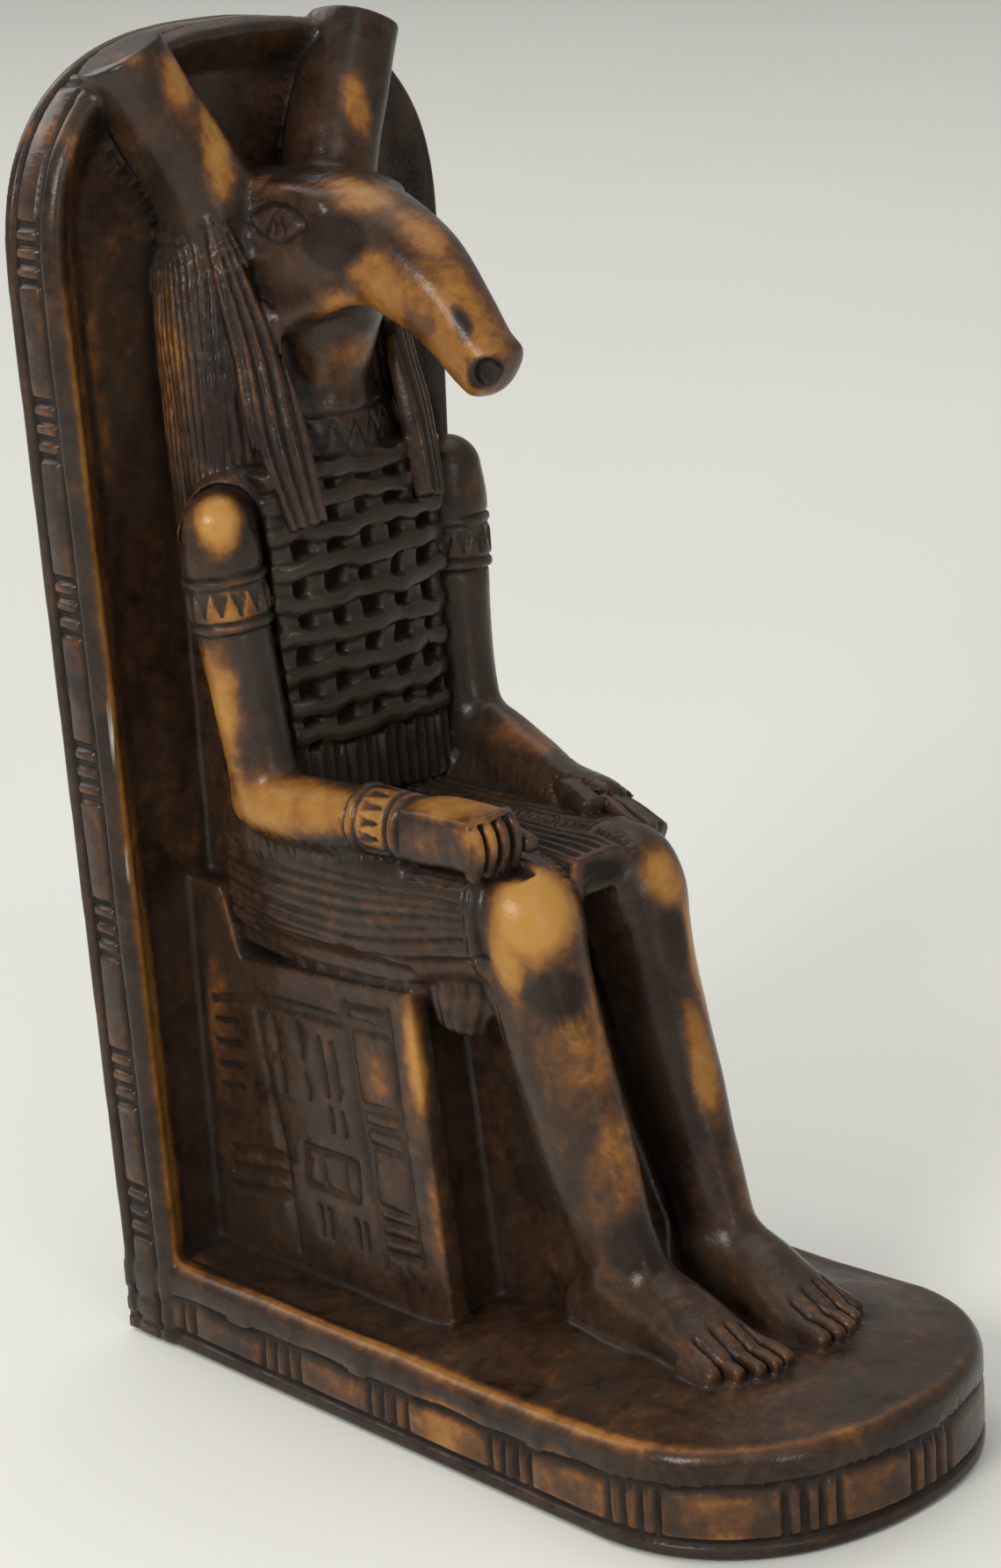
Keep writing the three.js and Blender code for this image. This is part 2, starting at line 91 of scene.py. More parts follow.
def step(value: Array, start: float, end: float) -> Array:
    """Smooth rise from 0 at start to 1 at end.

    Args:
        value: The numbers to grade.
        start: Where the rise begins.
        end: Where it is complete; it may lie below start.

    Returns:
        The grades, from 0 to 1.
    """
    t = np.clip((value - start) / (end - start), 0.0, 1.0)
    return t * t * (3.0 - 2.0 * t)


def hump(value: Array, middle: float, half: float) -> Array:
    """Smooth bump of height 1 at middle that falls to 0 at a distance of half."""
    t = np.clip(np.abs(value - middle) / half, 0.0, 1.0)
    return (1.0 - t * t) ** 2


def stroke(distance: Array, width: float) -> Array:
    """Depth share of a cut whose middle line is at that distance: 1 on the line, 0 outside."""
    return 1.0 - step(np.abs(distance), 0.25 * width, 0.75 * width)


def soft_min(a: Array, b: Array, size: float) -> Array:
    """Joins two distances, with a fillet of that size.

    Args:
        a: Distances to the first form.
        b: Distances to the second form.
        size: Width of the fillet in millimetres, or 0 for a crisp join.

    Returns:
        Distances to both together.
    """
    if size <= 0.0:
        return np.minimum(a, b)
    h = np.maximum(size - np.abs(a - b), 0.0) / size
    return np.minimum(a, b) - h * h * (size * 0.25)


def soft_max(a: Array, b: Array, size: float) -> Array:
    """What two forms have in common, with the edge between them rounded."""
    return -soft_min(-a, -b, size)


def smooth_line(stations: Rows, steps: int) -> Array:
    """Points on a smooth line through the stations.

    Args:
        stations: Rows of numbers; all of them are smoothed alike.
        steps: Points for each span between two stations.

    Returns:
        One row for each point, the last station included.
    """
    rows = np.array(stations, float)
    before = np.vstack([2 * rows[0] - rows[1], rows])
    padded = np.vstack([before, 2 * rows[-1] - rows[-2]])
    found = []
    for i in range(len(rows) - 1):
        p0, p1, p2, p3 = padded[i : i + 4]
        for t in np.arange(steps) / steps:
            bend = 2 * p0 - 5 * p1 + 4 * p2 - p3
            turn = 3 * p1 - p0 - 3 * p2 + p3
            found.append(0.5 * (2 * p1 + (p2 - p0) * t + bend * t * t + turn * t**3))
    found.append(rows[-1])
    return np.array(found)


def segment(a: Array, b: Array, start: tuple[float, float], end: tuple[float, float]) -> Array:
    """Distance in a plane from each place (a, b) to a straight line from start to end."""
    du, dv = end[0] - start[0], end[1] - start[1]
    length = du * du + dv * dv
    t = np.clip(((a - start[0]) * du + (b - start[1]) * dv) / length, 0.0, 1.0)
    return np.hypot(a - start[0] - t * du, b - start[1] - t * dv)


def mirrored(side: int, rows: Rows) -> list[tuple[float, ...]]:
    """The rows of a rod with their x turned to that side."""
    return [(side * x, *rest) for x, *rest in rows]


@dataclass
class Rod:
    """A rounded rod whose oval section changes along a smooth line.

    Each station is x, y, z, half width and half thickness; `across` is the width's direction.
    `end` is how far the rounded ends reach past the line, and `relief` carves the surface.
    It gets the place round the section as two shares of the half sizes, and along the rod.
    """

    stations: Rows
    across: Point = (1.0, 0.0, 0.0)
    power: float = 2.0
    end: float | None = None
    steps: int = 4
    relief: Relief | None = None

    def reach(self) -> tuple[Array, Array]:
        """Lowest and highest corner of the rod."""
        line = smooth_line(self.stations, self.steps)
        most = line[:, 3:].max(axis=1)[:, None]
        return (line[:, :3] - most).min(axis=0), (line[:, :3] + most).max(axis=0)

    def distance(self, x: Array, y: Array, z: Array) -> Array:
        """Distance from each place to the rod's surface."""
        line = smooth_line(self.stations, self.steps)
        side = np.array(self.across, float)
        best = found = None
        for i in range(len(line) - 1):
            first, last = line[i], line[i + 1]
            along = last[:3] - first[:3]
            length = float(np.linalg.norm(along))
            along = along / length
            thick = np.cross(along, side)
            thick /= np.linalg.norm(thick)
            wide = np.cross(thick, along)
            off = [x - first[0], y - first[1], z - first[2]]
            run, u, v = (
                (off[0] * axis[0] + off[1] * axis[1] + off[2] * axis[2]).astype(np.float32)
                for axis in (along, wide, thick)
            )
            t = np.clip(run / length, 0.0, 1.0)
            past = run - t * length
            half_wide = first[3] + (last[3] - first[3]) * t
            half_thick = first[4] + (last[4] - first[4]) * t
            half_end = np.minimum(half_wide, half_thick) if self.end is None else self.end
            made = self._section(u / half_wide, v / half_thick, past / half_end,
                                 half_wide, half_thick, half_end)
            if self.relief is None:
                best = made if best is None else np.minimum(best, made)
                continue
            place = [u / half_wide, v / half_thick, (i + t) / (len(line) - 1)]
            if best is None:
                best, found = made, place
                continue
            nearer = made < best
            best = np.where(nearer, made, best)
            found = [np.where(nearer, new, old) for new, old in zip(place, found)]
        return best if self.relief is None else best + self.relief(*found)

    def _section(self, a: Array, b: Array, c: Array, wide: Array, thick: Array, end: Array) -> Array:
        """Distance to the rod's oval section, from places as shares of its half sizes."""
        if self.power == 2.0:
            size = np.sqrt(a * a + b * b + c * c) + TINY
            slope = np.sqrt((a / wide) ** 2 + (b / thick) ** 2 + (c / end) ** 2) + TINY
            return size * (size - 1.0) / slope
        p = self.power
        a, b, c = np.abs(a), np.abs(b), np.abs(c)
        total = a**p + b**p + c**p + 1e-9
        size = total ** (1.0 / p)
        slope = np.sqrt((a ** (p - 1) / wide) ** 2 + (b ** (p - 1) / thick) ** 2
                        + (c ** (p - 1) / end) ** 2)
        return (size - 1.0) / (slope * total ** (1.0 / p - 1.0) + TINY)


@dataclass
class Ball:
    """An ellipsoid."""

    middle: Point
    half: Point

    def reach(self) -> tuple[Array, Array]:
        """Lowest and highest corner of the ball."""
        return np.array(self.middle) - self.half, np.array(self.middle) + self.half

    def distance(self, x: Array, y: Array, z: Array) -> Array:
        """Distance from each place to the ball's surface."""
        a, b, c = (v - m for v, m in zip((x, y, z), self.middle))
        ha, hb, hc = self.half
        size = np.sqrt((a / ha) ** 2 + (b / hb) ** 2 + (c / hc) ** 2) + TINY
        slope = np.sqrt((a / ha**2) ** 2 + (b / hb**2) ** 2 + (c / hc**2) ** 2) + TINY
        return size * (size - 1.0) / slope


@dataclass
class Block:
    """A box with rounded edges."""

    low: Point
    high: Point
    edge: float = 0.8

    def reach(self) -> tuple[Array, Array]:
        """Lowest and highest corner of the block."""
        return np.array(self.low, float), np.array(self.high, float)

    def distance(self, x: Array, y: Array, z: Array) -> Array:
        """Distance from each place to the block's surface."""
        gaps = []
        for value, low, high in zip((x, y, z), self.low, self.high):
            gaps.append(np.abs(value - (low + high) / 2) - ((high - low) / 2 - self.edge))
        outside = np.sqrt(sum(np.maximum(g, 0.0) ** 2 for g in gaps))
        inside = np.minimum(np.maximum(np.maximum(gaps[0], gaps[1]), gaps[2]), 0.0)
        return outside + inside - self.edge


@dataclass
class Clay:
    """The sculpting block: a distance for each cell, in millimetres, below zero in the statue."""

    cell: float
    low: Point
    high: Point
    margin: float = 2.5
    axes: list[Array] = field(init=False)
    field_mm: Array = field(init=False)

    def __post_init__(self) -> None:
        """Sets out the empty block."""
        self.axes = [
            np.arange(low, high + self.cell, self.cell, dtype=np.float32)
            for low, high in zip(self.low, self.high)
        ]
        self.field_mm = np.full([len(a) for a in self.axes], FAR, np.float32)

    def window(self, low: Sequence[float], high: Sequence[float]) -> tuple[tuple, list[Array]]:
        """The cells between two corners.

        Args:
            low: Lowest corner.
            high: Highest corner.

        Returns:
            The slices of the block, and its x, y and z values shaped to spread over them.
        """
        slices, values = [], []
        for i, axis in enumerate(self.axes):
            first = max(0, int((low[i] - self.low[i]) / self.cell))
            last = min(len(axis), int((high[i] - self.low[i]) / self.cell) + 2)
            slices.append(slice(first, last))
            shape = [1, 1, 1]
            shape[i] = last - first
            values.append(axis[first:last].reshape(shape))
        return tuple(slices), values

    def near(self, form: Rod | Ball | Block, margin: float) -> tuple[tuple, Array]:
        """The cells round a form, and their distances to it."""
        low, high = form.reach()
        slices, (x, y, z) = self.window(low - margin, high + margin)
        return slices, form.distance(x, y, z).astype(np.float32)

    def add(self, form: Rod | Ball | Block, fillet: float = 1.0) -> None:
        """Adds a form, joined with a fillet."""
        slices, made = self.near(form, fillet + self.margin)
        self.field_mm[slices] = soft_min(self.field_mm[slices], made, fillet)

    def press(self, form: Rod | Ball | Block, seam: float = 0.6, depth: float = 1.0) -> None:
        """Adds a form with a groove cut round it where it meets what is there.

        Args:
            form: The form to add.
            seam: Width of the groove.
            depth: Depth of the groove below the old surface.
        """
        slices, made = self.near(form, seam + self.margin)
        old = self.field_mm[slices]
        groove = soft_max(made - seam, -(old + depth), 0.5)
        self.field_mm[slices] = np.minimum(soft_max(old, -groove, 0.4), made)

    def cut(self, form: Rod | Ball | Block, fillet: float = 0.6) -> None:
        """Takes a form away."""
        slices, made = self.near(form, fillet + self.margin)
        self.field_mm[slices] = soft_max(self.field_mm[slices], -made, fillet)

    def carve(self, low: Sequence[float], high: Sequence[float], relief: Relief) -> None:
        """Lowers the surface between two corners by a depth that depends on the place."""
        slices, (x, y, z) = self.window(low, high)
        self.field_mm[slices] += relief(x, y, z).astype(np.float32)

    def blurred(self, size: float) -> Array:
        """The block of distances, evened out over cubes of that size."""
        cells = max(1, int(round(size / self.cell / 2)))
        made = np.clip(self.field_mm, -size, size)
        for axis in range(3):
            widths = [(cells + 1, cells) if i == axis else (0, 0) for i in range(3)]
            total = np.cumsum(np.pad(made, widths, mode="edge"), axis=axis, dtype=np.float64)
            count = made.shape[axis]
            after = np.take(total, range(2 * cells + 1, 2 * cells + 1 + count), axis=axis)
            ahead = np.take(total, range(count), axis=axis)
            made = ((after - ahead) / (2 * cells + 1)).astype(np.float32)
        return made

    def sample(self, values: Array, points: Array) -> Array:
        """Values of a block at places between its cells."""
        place = (points - np.array(self.low)) / self.cell
        base = np.clip(np.floor(place).astype(int), 0, np.array(values.shape) - 2)
        share = place - base
        total = np.zeros(len(points))
        for corner in np.ndindex(2, 2, 2):
            weight = np.prod([share[:, i] if corner[i] else 1 - share[:, i] for i in range(3)], axis=0)
            total += weight * values[tuple(base[:, i] + corner[i] for i in range(3))]
        return total

    def surface(self) -> tuple[Array, Array]:
        """The statue's surface as points in millimetres and four-cornered faces."""
        grid = openvdb.FloatGrid(FAR)
        grid.copyFromArray(np.clip(self.field_mm, -FAR, FAR), tolerance=0)
        points, _, quads = grid.convertToPolygons(isovalue=0.0, adaptivity=0.0)
        return points * self.cell + np.array(self.low), quads


@dataclass(frozen=True)
class Rub:
    """A place that hands or the maker's cloth have rubbed: an ellipsoid with soft bounds."""

    middle: Point
    half: Point
    strength: float

    def share(self, points: Array) -> Array:
        """How much each point is rubbed, from 0 to the strength."""
        away = np.linalg.norm((points - np.array(self.middle)) / np.array(self.half), axis=1)
        return self.strength * (1.0 - step(away, 0.25, 1.25))


def places(*rows: tuple[float, ...]) -> list[Rub]:
    """Rubs from rows of seven numbers: x, y and z, the three half sizes and the strength."""
    return [Rub(row[:3], row[3:6], row[6]) for row in rows]


def most_of(rubs: Sequence[Rub], points: Array) -> Array:
    """The greatest share that any of the places has at each point."""
    total = np.zeros(len(points))
    for rub in rubs:
        total = np.maximum(total, rub.share(points))
    return total


class Part:
    """A share of the statue: it adds its form to the block and knows where it is rubbed.

    A part's `slant` turns the height over its sloped face into the distance from that face.
    """

    def sculpt(self, clay: Clay) -> None:
        """Adds the part's form to the block."""
        raise NotImplementedError

    def rubs(self) -> list[Rub]:
        """Places that are rubbed through to the honey-coloured casting."""
        return []

    def stains(self) -> list[Rub]:
        """Places where the dark wax is thick."""
        return []

    def chips(self) -> list[Rub]:
        """Places where the casting is chipped to its pale inside."""
        return []

    def wax_and_shade(self, points: Array) -> Array:
        """How dark each point is made beyond its own hollow: thick wax, with painted shade."""
        return np.zeros(len(points))

    def polish(self, points: Array) -> Array:
        """How much each point of the surface is rubbed by this part's places."""
        return most_of(self.rubs(), points)


@dataclass(frozen=True)
class Outline:
    """A straight-sided outline that closes in a rounded nose, seen flat, in millimetres.

    It runs along `rise`, is `half` wide at 0, widens by `flare` for each millimetre, and from
    `spring` on closes in a squared oval that ends at `top`.
    """

    half: float
    spring: float
    top: float
    power: float
    flare: float = 0.0
    curve_points: int = 400

    def width_at(self, rise: Array | float) -> Array | float:
        """Half width of the straight part at that rise."""
        return self.half * (1.0 + self.flare * np.minimum(rise, self.spring))

    def inset(self, across: Array, rise: Array) -> Array:
        """How far each place lies inside the outline; below zero outside."""
        wide = self.width_at(self.spring)
        high = self.top - self.spring
        a = np.abs(across) / wide
        b = np.maximum(rise - self.spring, 0.0) / high
        total = a**self.power + b**self.power + 1e-9
        size = total ** (1.0 / self.power)
        slope = np.hypot(a ** (self.power - 1) / wide, b ** (self.power - 1) / high)
        slope = slope * total ** (1.0 / self.power - 1.0) + TINY
        nose = (1.0 - size) / slope
        return np.where(rise < self.spring, self.width_at(rise) - np.abs(across), nose)

    def run(self, across: Array, rise: Array) -> Array:
        """Length along the outline from the near foot, for the nearest point of it.

        Args:
            across: Places across the outline; the near side is below zero.
            rise: Places along it.

        Returns:
            Millimetres from the near foot, up over the nose and down to the far foot.
        """
        angle = np.linspace(0.0, math.pi, self.curve_points)
        wide = self.width_at(self.spring)
        high = self.top - self.spring
        curve = 2.0 / self.power
        line_a = -wide * np.sign(np.cos(angle)) * np.abs(np.cos(angle)) ** curve
        line_b = high * np.sin(angle) ** curve
        lengths = np.concatenate([[0.0], np.cumsum(np.hypot(np.diff(line_a), np.diff(line_b)))])
        turn = np.arctan2(np.maximum(rise - self.spring, 0.0) / high, -across / wide)
        line_turn = np.arctan2(line_b / high, -line_a / wide)
        nose = self.spring + np.interp(turn, line_turn, lengths)
        far = 2.0 * self.spring + lengths[-1] - rise
        straight = np.where(across < 0.0, rise, far)
        return np.where(rise < self.spring, straight, nose)

    def total(self) -> float:
        """Length of the whole outline."""
        return float(self.run(np.array([1e-3 + self.half]), np.array([0.0]))[0])


@dataclass(frozen=True)
class EdgeBand:
    """The carved band on the slab's and the base's edges: blocks parted by groups of bars."""

    depth: float = 0.95
    gap: float = 1.5
    pitch: float = 3.4
    soft: float = 0.7
    gaps: tuple[float, ...] = (-1.5, -0.5, 0.5, 1.5)
    plain_end: float = 30.0

    def blocks(self, run: Array, groups: Sequence[float], total: float) -> Array:
        """1 on the raised blocks and bars and 0 in the gaps between them.

        Args:
            run: Length along the outline.
            groups: Middles of the bar groups, from the near foot.
            total: Length of the outline; the far side repeats the groups.

        Returns:
            The share of raised stone at each place.
        """
        raised = np.ones_like(run)
        opposite = [total - middle for middle in groups]
        last = max(groups) + self.plain_end
        for middle in [*groups, *(place for place in opposite if place > last)]:
            for offset in self.gaps:
                away = np.abs(run - middle - offset * self.pitch)
                raised *= step(away, self.gap / 2 - self.soft / 2, self.gap / 2 + self.soft / 2)
        return raised

    def strips(self, level: Array, bounds: Sequence[tuple[float, float]]) -> Array:
        """1 between each pair of bounds and 0 elsewhere, with soft edges."""
        raised = np.zeros_like(level)
        for low, high in bounds:
            inside = step(level, low - self.soft / 2, low + self.soft / 2)
            raised = np.maximum(raised, inside * step(level, high + self.soft / 2, high - self.soft / 2))
        return raised


@dataclass
class BackSlab(Part):
    """The tall slab behind the figure: an arched niche with a rubbed rim and a carved edge."""

    outline: Outline = Outline(half=41.5, spring=205.0, top=248.4, power=2.52, flare=0.00056)
    thick: float = 14.2
    rim_inset: float = 2.4
    rim_fall: float = 2.3
    niche_depth: float = 5.6
    niche_slope: float = 7.5
    slant: float = 0.9
    back_strip: float = 2.2
    block_strip: tuple[float, float] = (3.5, 9.3)
    front_strip: float = 10.6
    groups: tuple[float, ...] = (26.0, 54.0, 84.0, 115.0, 147.0, 180.0, 212.0, 250.0)
    band: EdgeBand = EdgeBand()

    def front(self, inset: Array) -> Array:
        """Y of the slab's front at that distance inside its outline."""
        crest = BACK_Y - self.thick
        outer = crest + self.rim_fall * (np.maximum(self.rim_inset - inset, 0.0) / self.rim_inset) ** 2
        start = self.rim_inset + 0.3
        inner = self.niche_depth * step(inset, start - 2.0, start + self.niche_slope)
        at_crest = float(step(self.rim_inset, start - 2.0, start + self.niche_slope))
        return outer + inner - self.niche_depth * at_crest

    def sculpt(self, clay: Clay) -> None:
        """Adds the slab to the block."""
        margin = 3.0
        half = self.outline.width_at(self.outline.spring) + margin
        slices, (x, y, z) = clay.window(
            (-half, BACK_Y - self.thick - margin, -margin), (half, BACK_Y + margin, 252.0)
        )
        flat_x, flat_z = np.broadcast_arrays(x, z)
        inset = self.outline.inset(flat_x, flat_z)
        run = self.outline.run(flat_x, flat_z)
        blocks = self.band.blocks(run, self.groups, self.outline.total())
        strip = self.band.strips(y, [
            (BACK_Y - self.back_strip, BACK_Y + 9.0), (60.0, BACK_Y - self.front_strip),
        ])
        first, last = self.block_strip
        middle = self.band.strips(y, [(BACK_Y - last, BACK_Y - first)])
        raised = np.maximum(strip, middle * blocks)
        edge = -inset + self.band.depth * (1.0 - raised)
        face = (self.front(inset) - y) * self.slant
        back = y - BACK_Y
        made = soft_max(soft_max(edge, face, 0.8), soft_max(back, -z, 0.3), 0.6)
        clay.field_mm[slices] = np.minimum(clay.field_mm[slices], made)

    def polish(self, points: Array) -> Array:
        """The rim's crest and its inner slope are rubbed, most along the near upright side."""
        inset = self.outline.inset(points[:, 0], points[:, 2])
        behind = points[:, 1] - (BACK_Y - self.thick)
        near = 0.08 + 0.92 * step(points[:, 0], 20.0, -20.0)
        upright = near * (0.22 + 0.78 * step(points[:, 2], 220.0, 186.0))
        crest = hump(inset, self.rim_inset + 0.2, 1.8) * step(behind, 3.0, 1.0)
        slope = hump(inset, self.rim_inset + 3.4, 5.0) * step(behind, 6.5, 3.5) * step(inset, 1.6, 2.6)
        low = 0.40 + 0.36 * step(points[:, 2], 120.0, 60.0)
        streak = hump(inset, 11.0, 2.4) * step(behind, 3.0, 4.0) * step(behind, 9.0, 7.0)
        streak = streak * step(points[:, 2], 160.0, 175.0) * step(points[:, 2], 212.0, 195.0)
        blocks = 0.12 * step(inset, 1.0, 0.4) * step(behind, 3.0, 5.0)
        worn = np.maximum(np.maximum(0.72 * crest, low * slope) * upright, blocks)
        worn = worn * step(behind, -4.0, -2.5)
        return np.maximum(worn, 0.45 * streak)

    def chips(self) -> list[Rub]:
        """Two pale chips on the near rim."""
        return places((-43.2, 69.6, 123.6, 1.7, 1.6, 2.2, 0.62), (-42.6, 69.4, 98, 0.9, 0.9, 1.2, 0.62))


@dataclass
class BasePlate(Part):
    """The base under the throne and feet, with a rubbed rim, a rounded nose and a carved edge."""

    outline: Outline = Outline(
        half=41.5, spring=BACK_Y - FRONT_Y - 36.7, top=BACK_Y - FRONT_Y, power=2.18,
    )
    rim_inset: float = 2.3
    rim_heights: tuple[tuple[float, float], ...] = (
        (-83.5, 19.9), (-60.0, 19.3), (-30.0, 17.8), (20.0, 17.2), (70.0, 16.6),
    )
    well_height: float = 15.7
    floor_height: float = 20.6
    slant: float = 0.93
    foot_strip: float = 2.4
    block_foot: float = 3.7
    block_drop: float = 5.9
    rim_drop: float = 3.9
    groups: tuple[float, ...] = (15.0, 46.5, 77.0, 109.5, 139.0, 171.5, 198.0)
    worn_blocks: tuple[tuple[float, float], ...] = (
        (62.0, 0.18), (93.5, 0.42), (124.0, 0.24), (155.0, 0.26), (185.0, 0.16),
    )
    band: EdgeBand = EdgeBand()

    def top(self, y: Array, inset: Array) -> Array:
        """Height of the base's top.

        Args:
            y: Places along.
            inset: How far they lie inside the outline.

        Returns:
            Heights in millimetres.
        """
        ys, heights = zip(*self.rim_heights)
        rim = np.interp(y, ys, heights)
        open_floor = step(y, 16.0, -14.0)
        inner = self.well_height + (self.floor_height - self.well_height) * open_floor
        inner = inner + (rim + 0.3 - inner) * open_floor * step(inset, 18.0, 4.0)
        away = step(inset, self.rim_inset + 0.4, self.rim_inset + 4.2)
        outer = (np.maximum(self.rim_inset - inset, 0.0) / self.rim_inset) ** 2
        return rim + (inner - rim) * away - 2.2 * outer

    def sculpt(self, clay: Clay) -> None:
        """Adds the base to the block."""
        margin = 3.0
        half = self.outline.half + margin
        slices, (x, y, z) = clay.window((-half, FRONT_Y - margin, -margin), (half, BACK_Y + margin, 26.0))
        flat_x, flat_y = np.broadcast_arrays(x, y)
        rise = BACK_Y - flat_y
        inset = self.outline.inset(flat_x, rise)
        run = self.outline.run(flat_x, rise)
        blocks = self.band.blocks(run, self.groups, self.outline.total())
        top = self.top(flat_y, inset)
        drop = z - top
        strip = self.band.strips(z, [(-9.0, self.foot_strip)])
        strip = np.maximum(strip, step(drop, -self.rim_drop - 0.9, -self.rim_drop))
        middle = self.band.strips(z, [(self.block_foot, 30.0)])
        middle = middle * step(drop, -self.block_drop, -self.block_drop - 0.9) * blocks
        raised = np.maximum(strip, middle)
        edge = -inset + self.band.depth * (1.0 - raised)
        made = soft_max(soft_max(edge, drop * self.slant, 0.8), soft_max(y - BACK_Y, -z, 0.3), 0.6)
        clay.field_mm[slices] = soft_min(clay.field_mm[slices], made, 2.4)

    def polish(self, points: Array) -> Array:
        """The rim's crest is rubbed, a few of the raised blocks too, and the floor faintly."""
        rise = BACK_Y - points[:, 1]
        inset = self.outline.inset(points[:, 0], rise)
        high = step(points[:, 2], 12.6, 15.0)
        long_side = 0.42 + 0.28 * step(points[:, 1], -66.0, -54.0) - 0.3 * step(points[:, 1], 34.0, 60.0)
        rim = hump(inset, self.rim_inset, 2.6) * high * long_side
        rim = rim * (1.0 - 0.55 * step(points[:, 0], 0.0, 20.0))
        run = self.outline.run(points[:, 0], rise)
        side = step(inset, 1.2, 0.5) * step(points[:, 2], 13.6, 12.6) * step(points[:, 2], 3.0, 4.2)
        block = 0.12 + sum(share * hump(run, middle, 15.0) for middle, share in self.worn_blocks)
        floor = 0.16 * high * step(inset, 2.0, 5.0) + 0.06 * hump(points[:, 1], -52.0, 34.0) * high
        return np.maximum(np.maximum(rim, block * side), floor)

    def chips(self) -> list[Rub]:
        """Pale scratches on the rim of the nose."""
        return places(
            (-1.3, -81, 18.4, 3.6, 0.8, 1, 0.6), (-7, -78.8, 18.6, 1.6, 0.7, 1, 0.58),
            (6, -81.6, 18.4, 1.6, 0.7, 0.8, 0.58),
        )


@dataclass
class Throne(Part):
    """The block seat with its low stepped back, carved sides and sunken front."""

    half: float = 24.5
    seat_z: float = 79.9
    seat_fall: float = 0.075
    front_top: float = 12.5
    front_foot: float = 6.5
    foot_z: float = 18.0
    post_z: float = 90.0
    recess_depth: float = 3.4
    slant: float = 0.9
    carve_depth: float = 0.55

    def sculpt(self, clay: Clay) -> None:
        """Adds the throne to the block."""
        slices, (x, y, z) = clay.window((-30.0, -4.0, 8.0), (30.0, BACK_Y - 3.0, 96.0))
        lean = (self.front_top - self.front_foot) / (self.seat_z - self.foot_z)
        front = self.front_foot + lean * (z - self.foot_z) - y
        seat = self.seat_z + self.seat_fall * (self.front_top - y)
        top = z - seat - (self.post_z - seat) * step(y, 60.2, 66.0)
        flat_y, flat_z = np.broadcast_arrays(y, z)
        side = np.abs(x) - self.half
        near = self.carve_depth * self.pattern(flat_y, flat_z, True)
        far = self.carve_depth * self.pattern(flat_y, flat_z, False)
        side = side + np.where(x < 0, near, far) * step(np.abs(x), self.half - 3.0, self.half - 2.0)
        made = soft_max(soft_max(side, front, 1.0), top * self.slant, 0.4)
        recess = np.maximum(np.abs(x) - (self.half - 5.0), front - self.recess_depth)
        recess = np.maximum(recess, z - self.seat_z + 4.0)
        sunk = y - self.front_foot - lean * (z - self.foot_z) - self.recess_depth
        made = soft_max(made, -soft_max(recess, sunk, 1.0), 1.2)
        clay.field_mm[slices] = soft_min(clay.field_mm[slices], made, 1.6)

    def pattern(self, y: Array, z: Array, near: bool) -> Array:
        """Depth shares of the cuts in a side of the throne.

        Args:
            y: Places along the side.
            z: Heights on it.
            near: True for the right side, which has the full carving.

        Returns:
            1 in the cuts and 0 on the bare stone.
        """
        cut = np.zeros_like(y)
        lines = [((70.0, 66.4), (57.0, 69.4), 2.0), ((57.0, 69.4), (18.6, 71.0), 2.4)]
        lines += [((30.7, 74.0), (24.3, 23.5), 2.0), ((18.6, 75.5), (17.2, 56.0), 1.4)]
        lines += [((17.2, 56.0), (13.8, 26.5), 1.3), ((18.8, 75.0), (30.4, 74.0), 1.0)]
        if near:
            lines += [((28.6, 54.6), (17.0, 55.4), 2.0), ((27.4, 50.8), (16.0, 51.6), 1.6)]
            lines += self.frame((25.8, 47.4), (15.9, 35.4))
            for top in (32.6, 29.6, 26.6):
                lines.append(((24.2, top), (14.6, top + 1.0), 1.3))
            lines += [((54.0, 49.1), (51.4, 38.0), 2.2), ((51.4, 38.0), (49.9, 19.9), 1.3)]
            for top in (37.6, 33.8, 29.6):
                lines.append(((68.0, top - 1.6), (51.0, top + 1.0), 1.9))
            lines += self.frame((45.6, 42.4), (31.0, 34.6))
            lines += [((41.0, 42.0), (40.4, 35.0), 1.3), ((34.6, 42.2), (34.2, 35.2), 1.3)]
            for start in (57.0, 52.6, 45.6):
                lines.append(((start, 66.4), (start - 1.0, 60.6), 1.2))
                lines.append(((start - 1.6, 56.8), (start - 2.2, 52.6), 1.1))
            for start in (39.4, 35.8):
                lines.append(((start, 65.0), (start - 1.4, 54.8), 1.5))
                lines.append(((start - 2.0, 51.6), (start - 2.4, 47.6), 1.1))
            for start in (42.6, 40.0, 32.0, 29.6):
                lines.append(((start, 30.4), (start - 0.3, 25.4), 1.2))
            for top in (63.0, 58.6, 54.0, 49.6):
                lines.append(((70.0, top - 0.8), (63.4, top), 1.3))
        else:
            lines += [((54.0, 66.0), (50.0, 20.0), 1.3), ((68.0, 36.0), (51.0, 38.6), 1.6)]
        for start, end, width in lines:
            cut = np.maximum(cut, stroke(segment(y, z, start, end), width))
        return cut

    def frame(self, first: tuple[float, float], last: tuple[float, float]) -> list[tuple]:
        """The four cuts of a small upright frame between two corners."""
        corners = [first, (last[0], first[1]), last, (first[0], last[1])]
        return [(corners[i], corners[(i + 1) % 4], 1.3) for i in range(4)]

    def rubs(self) -> list[Rub]:
        """The rubbed places of the throne."""
        return places(
            (-24.6, 11.4, 68, 3, 4.6, 15, 1), (-24.6, 8.5, 38, 2, 3, 18, 0.5),
            (-25, 69.5, 62, 4, 5, 22, 0.42), (-25, 24, 61, 3, 8, 9, 0.42),
            (-24.6, 40, 78, 3, 30, 3, 0.22), (-25, 37, 64, 3, 5, 6, 0.32), (-25, 63, 84, 3, 3, 9, 0.3),
        )


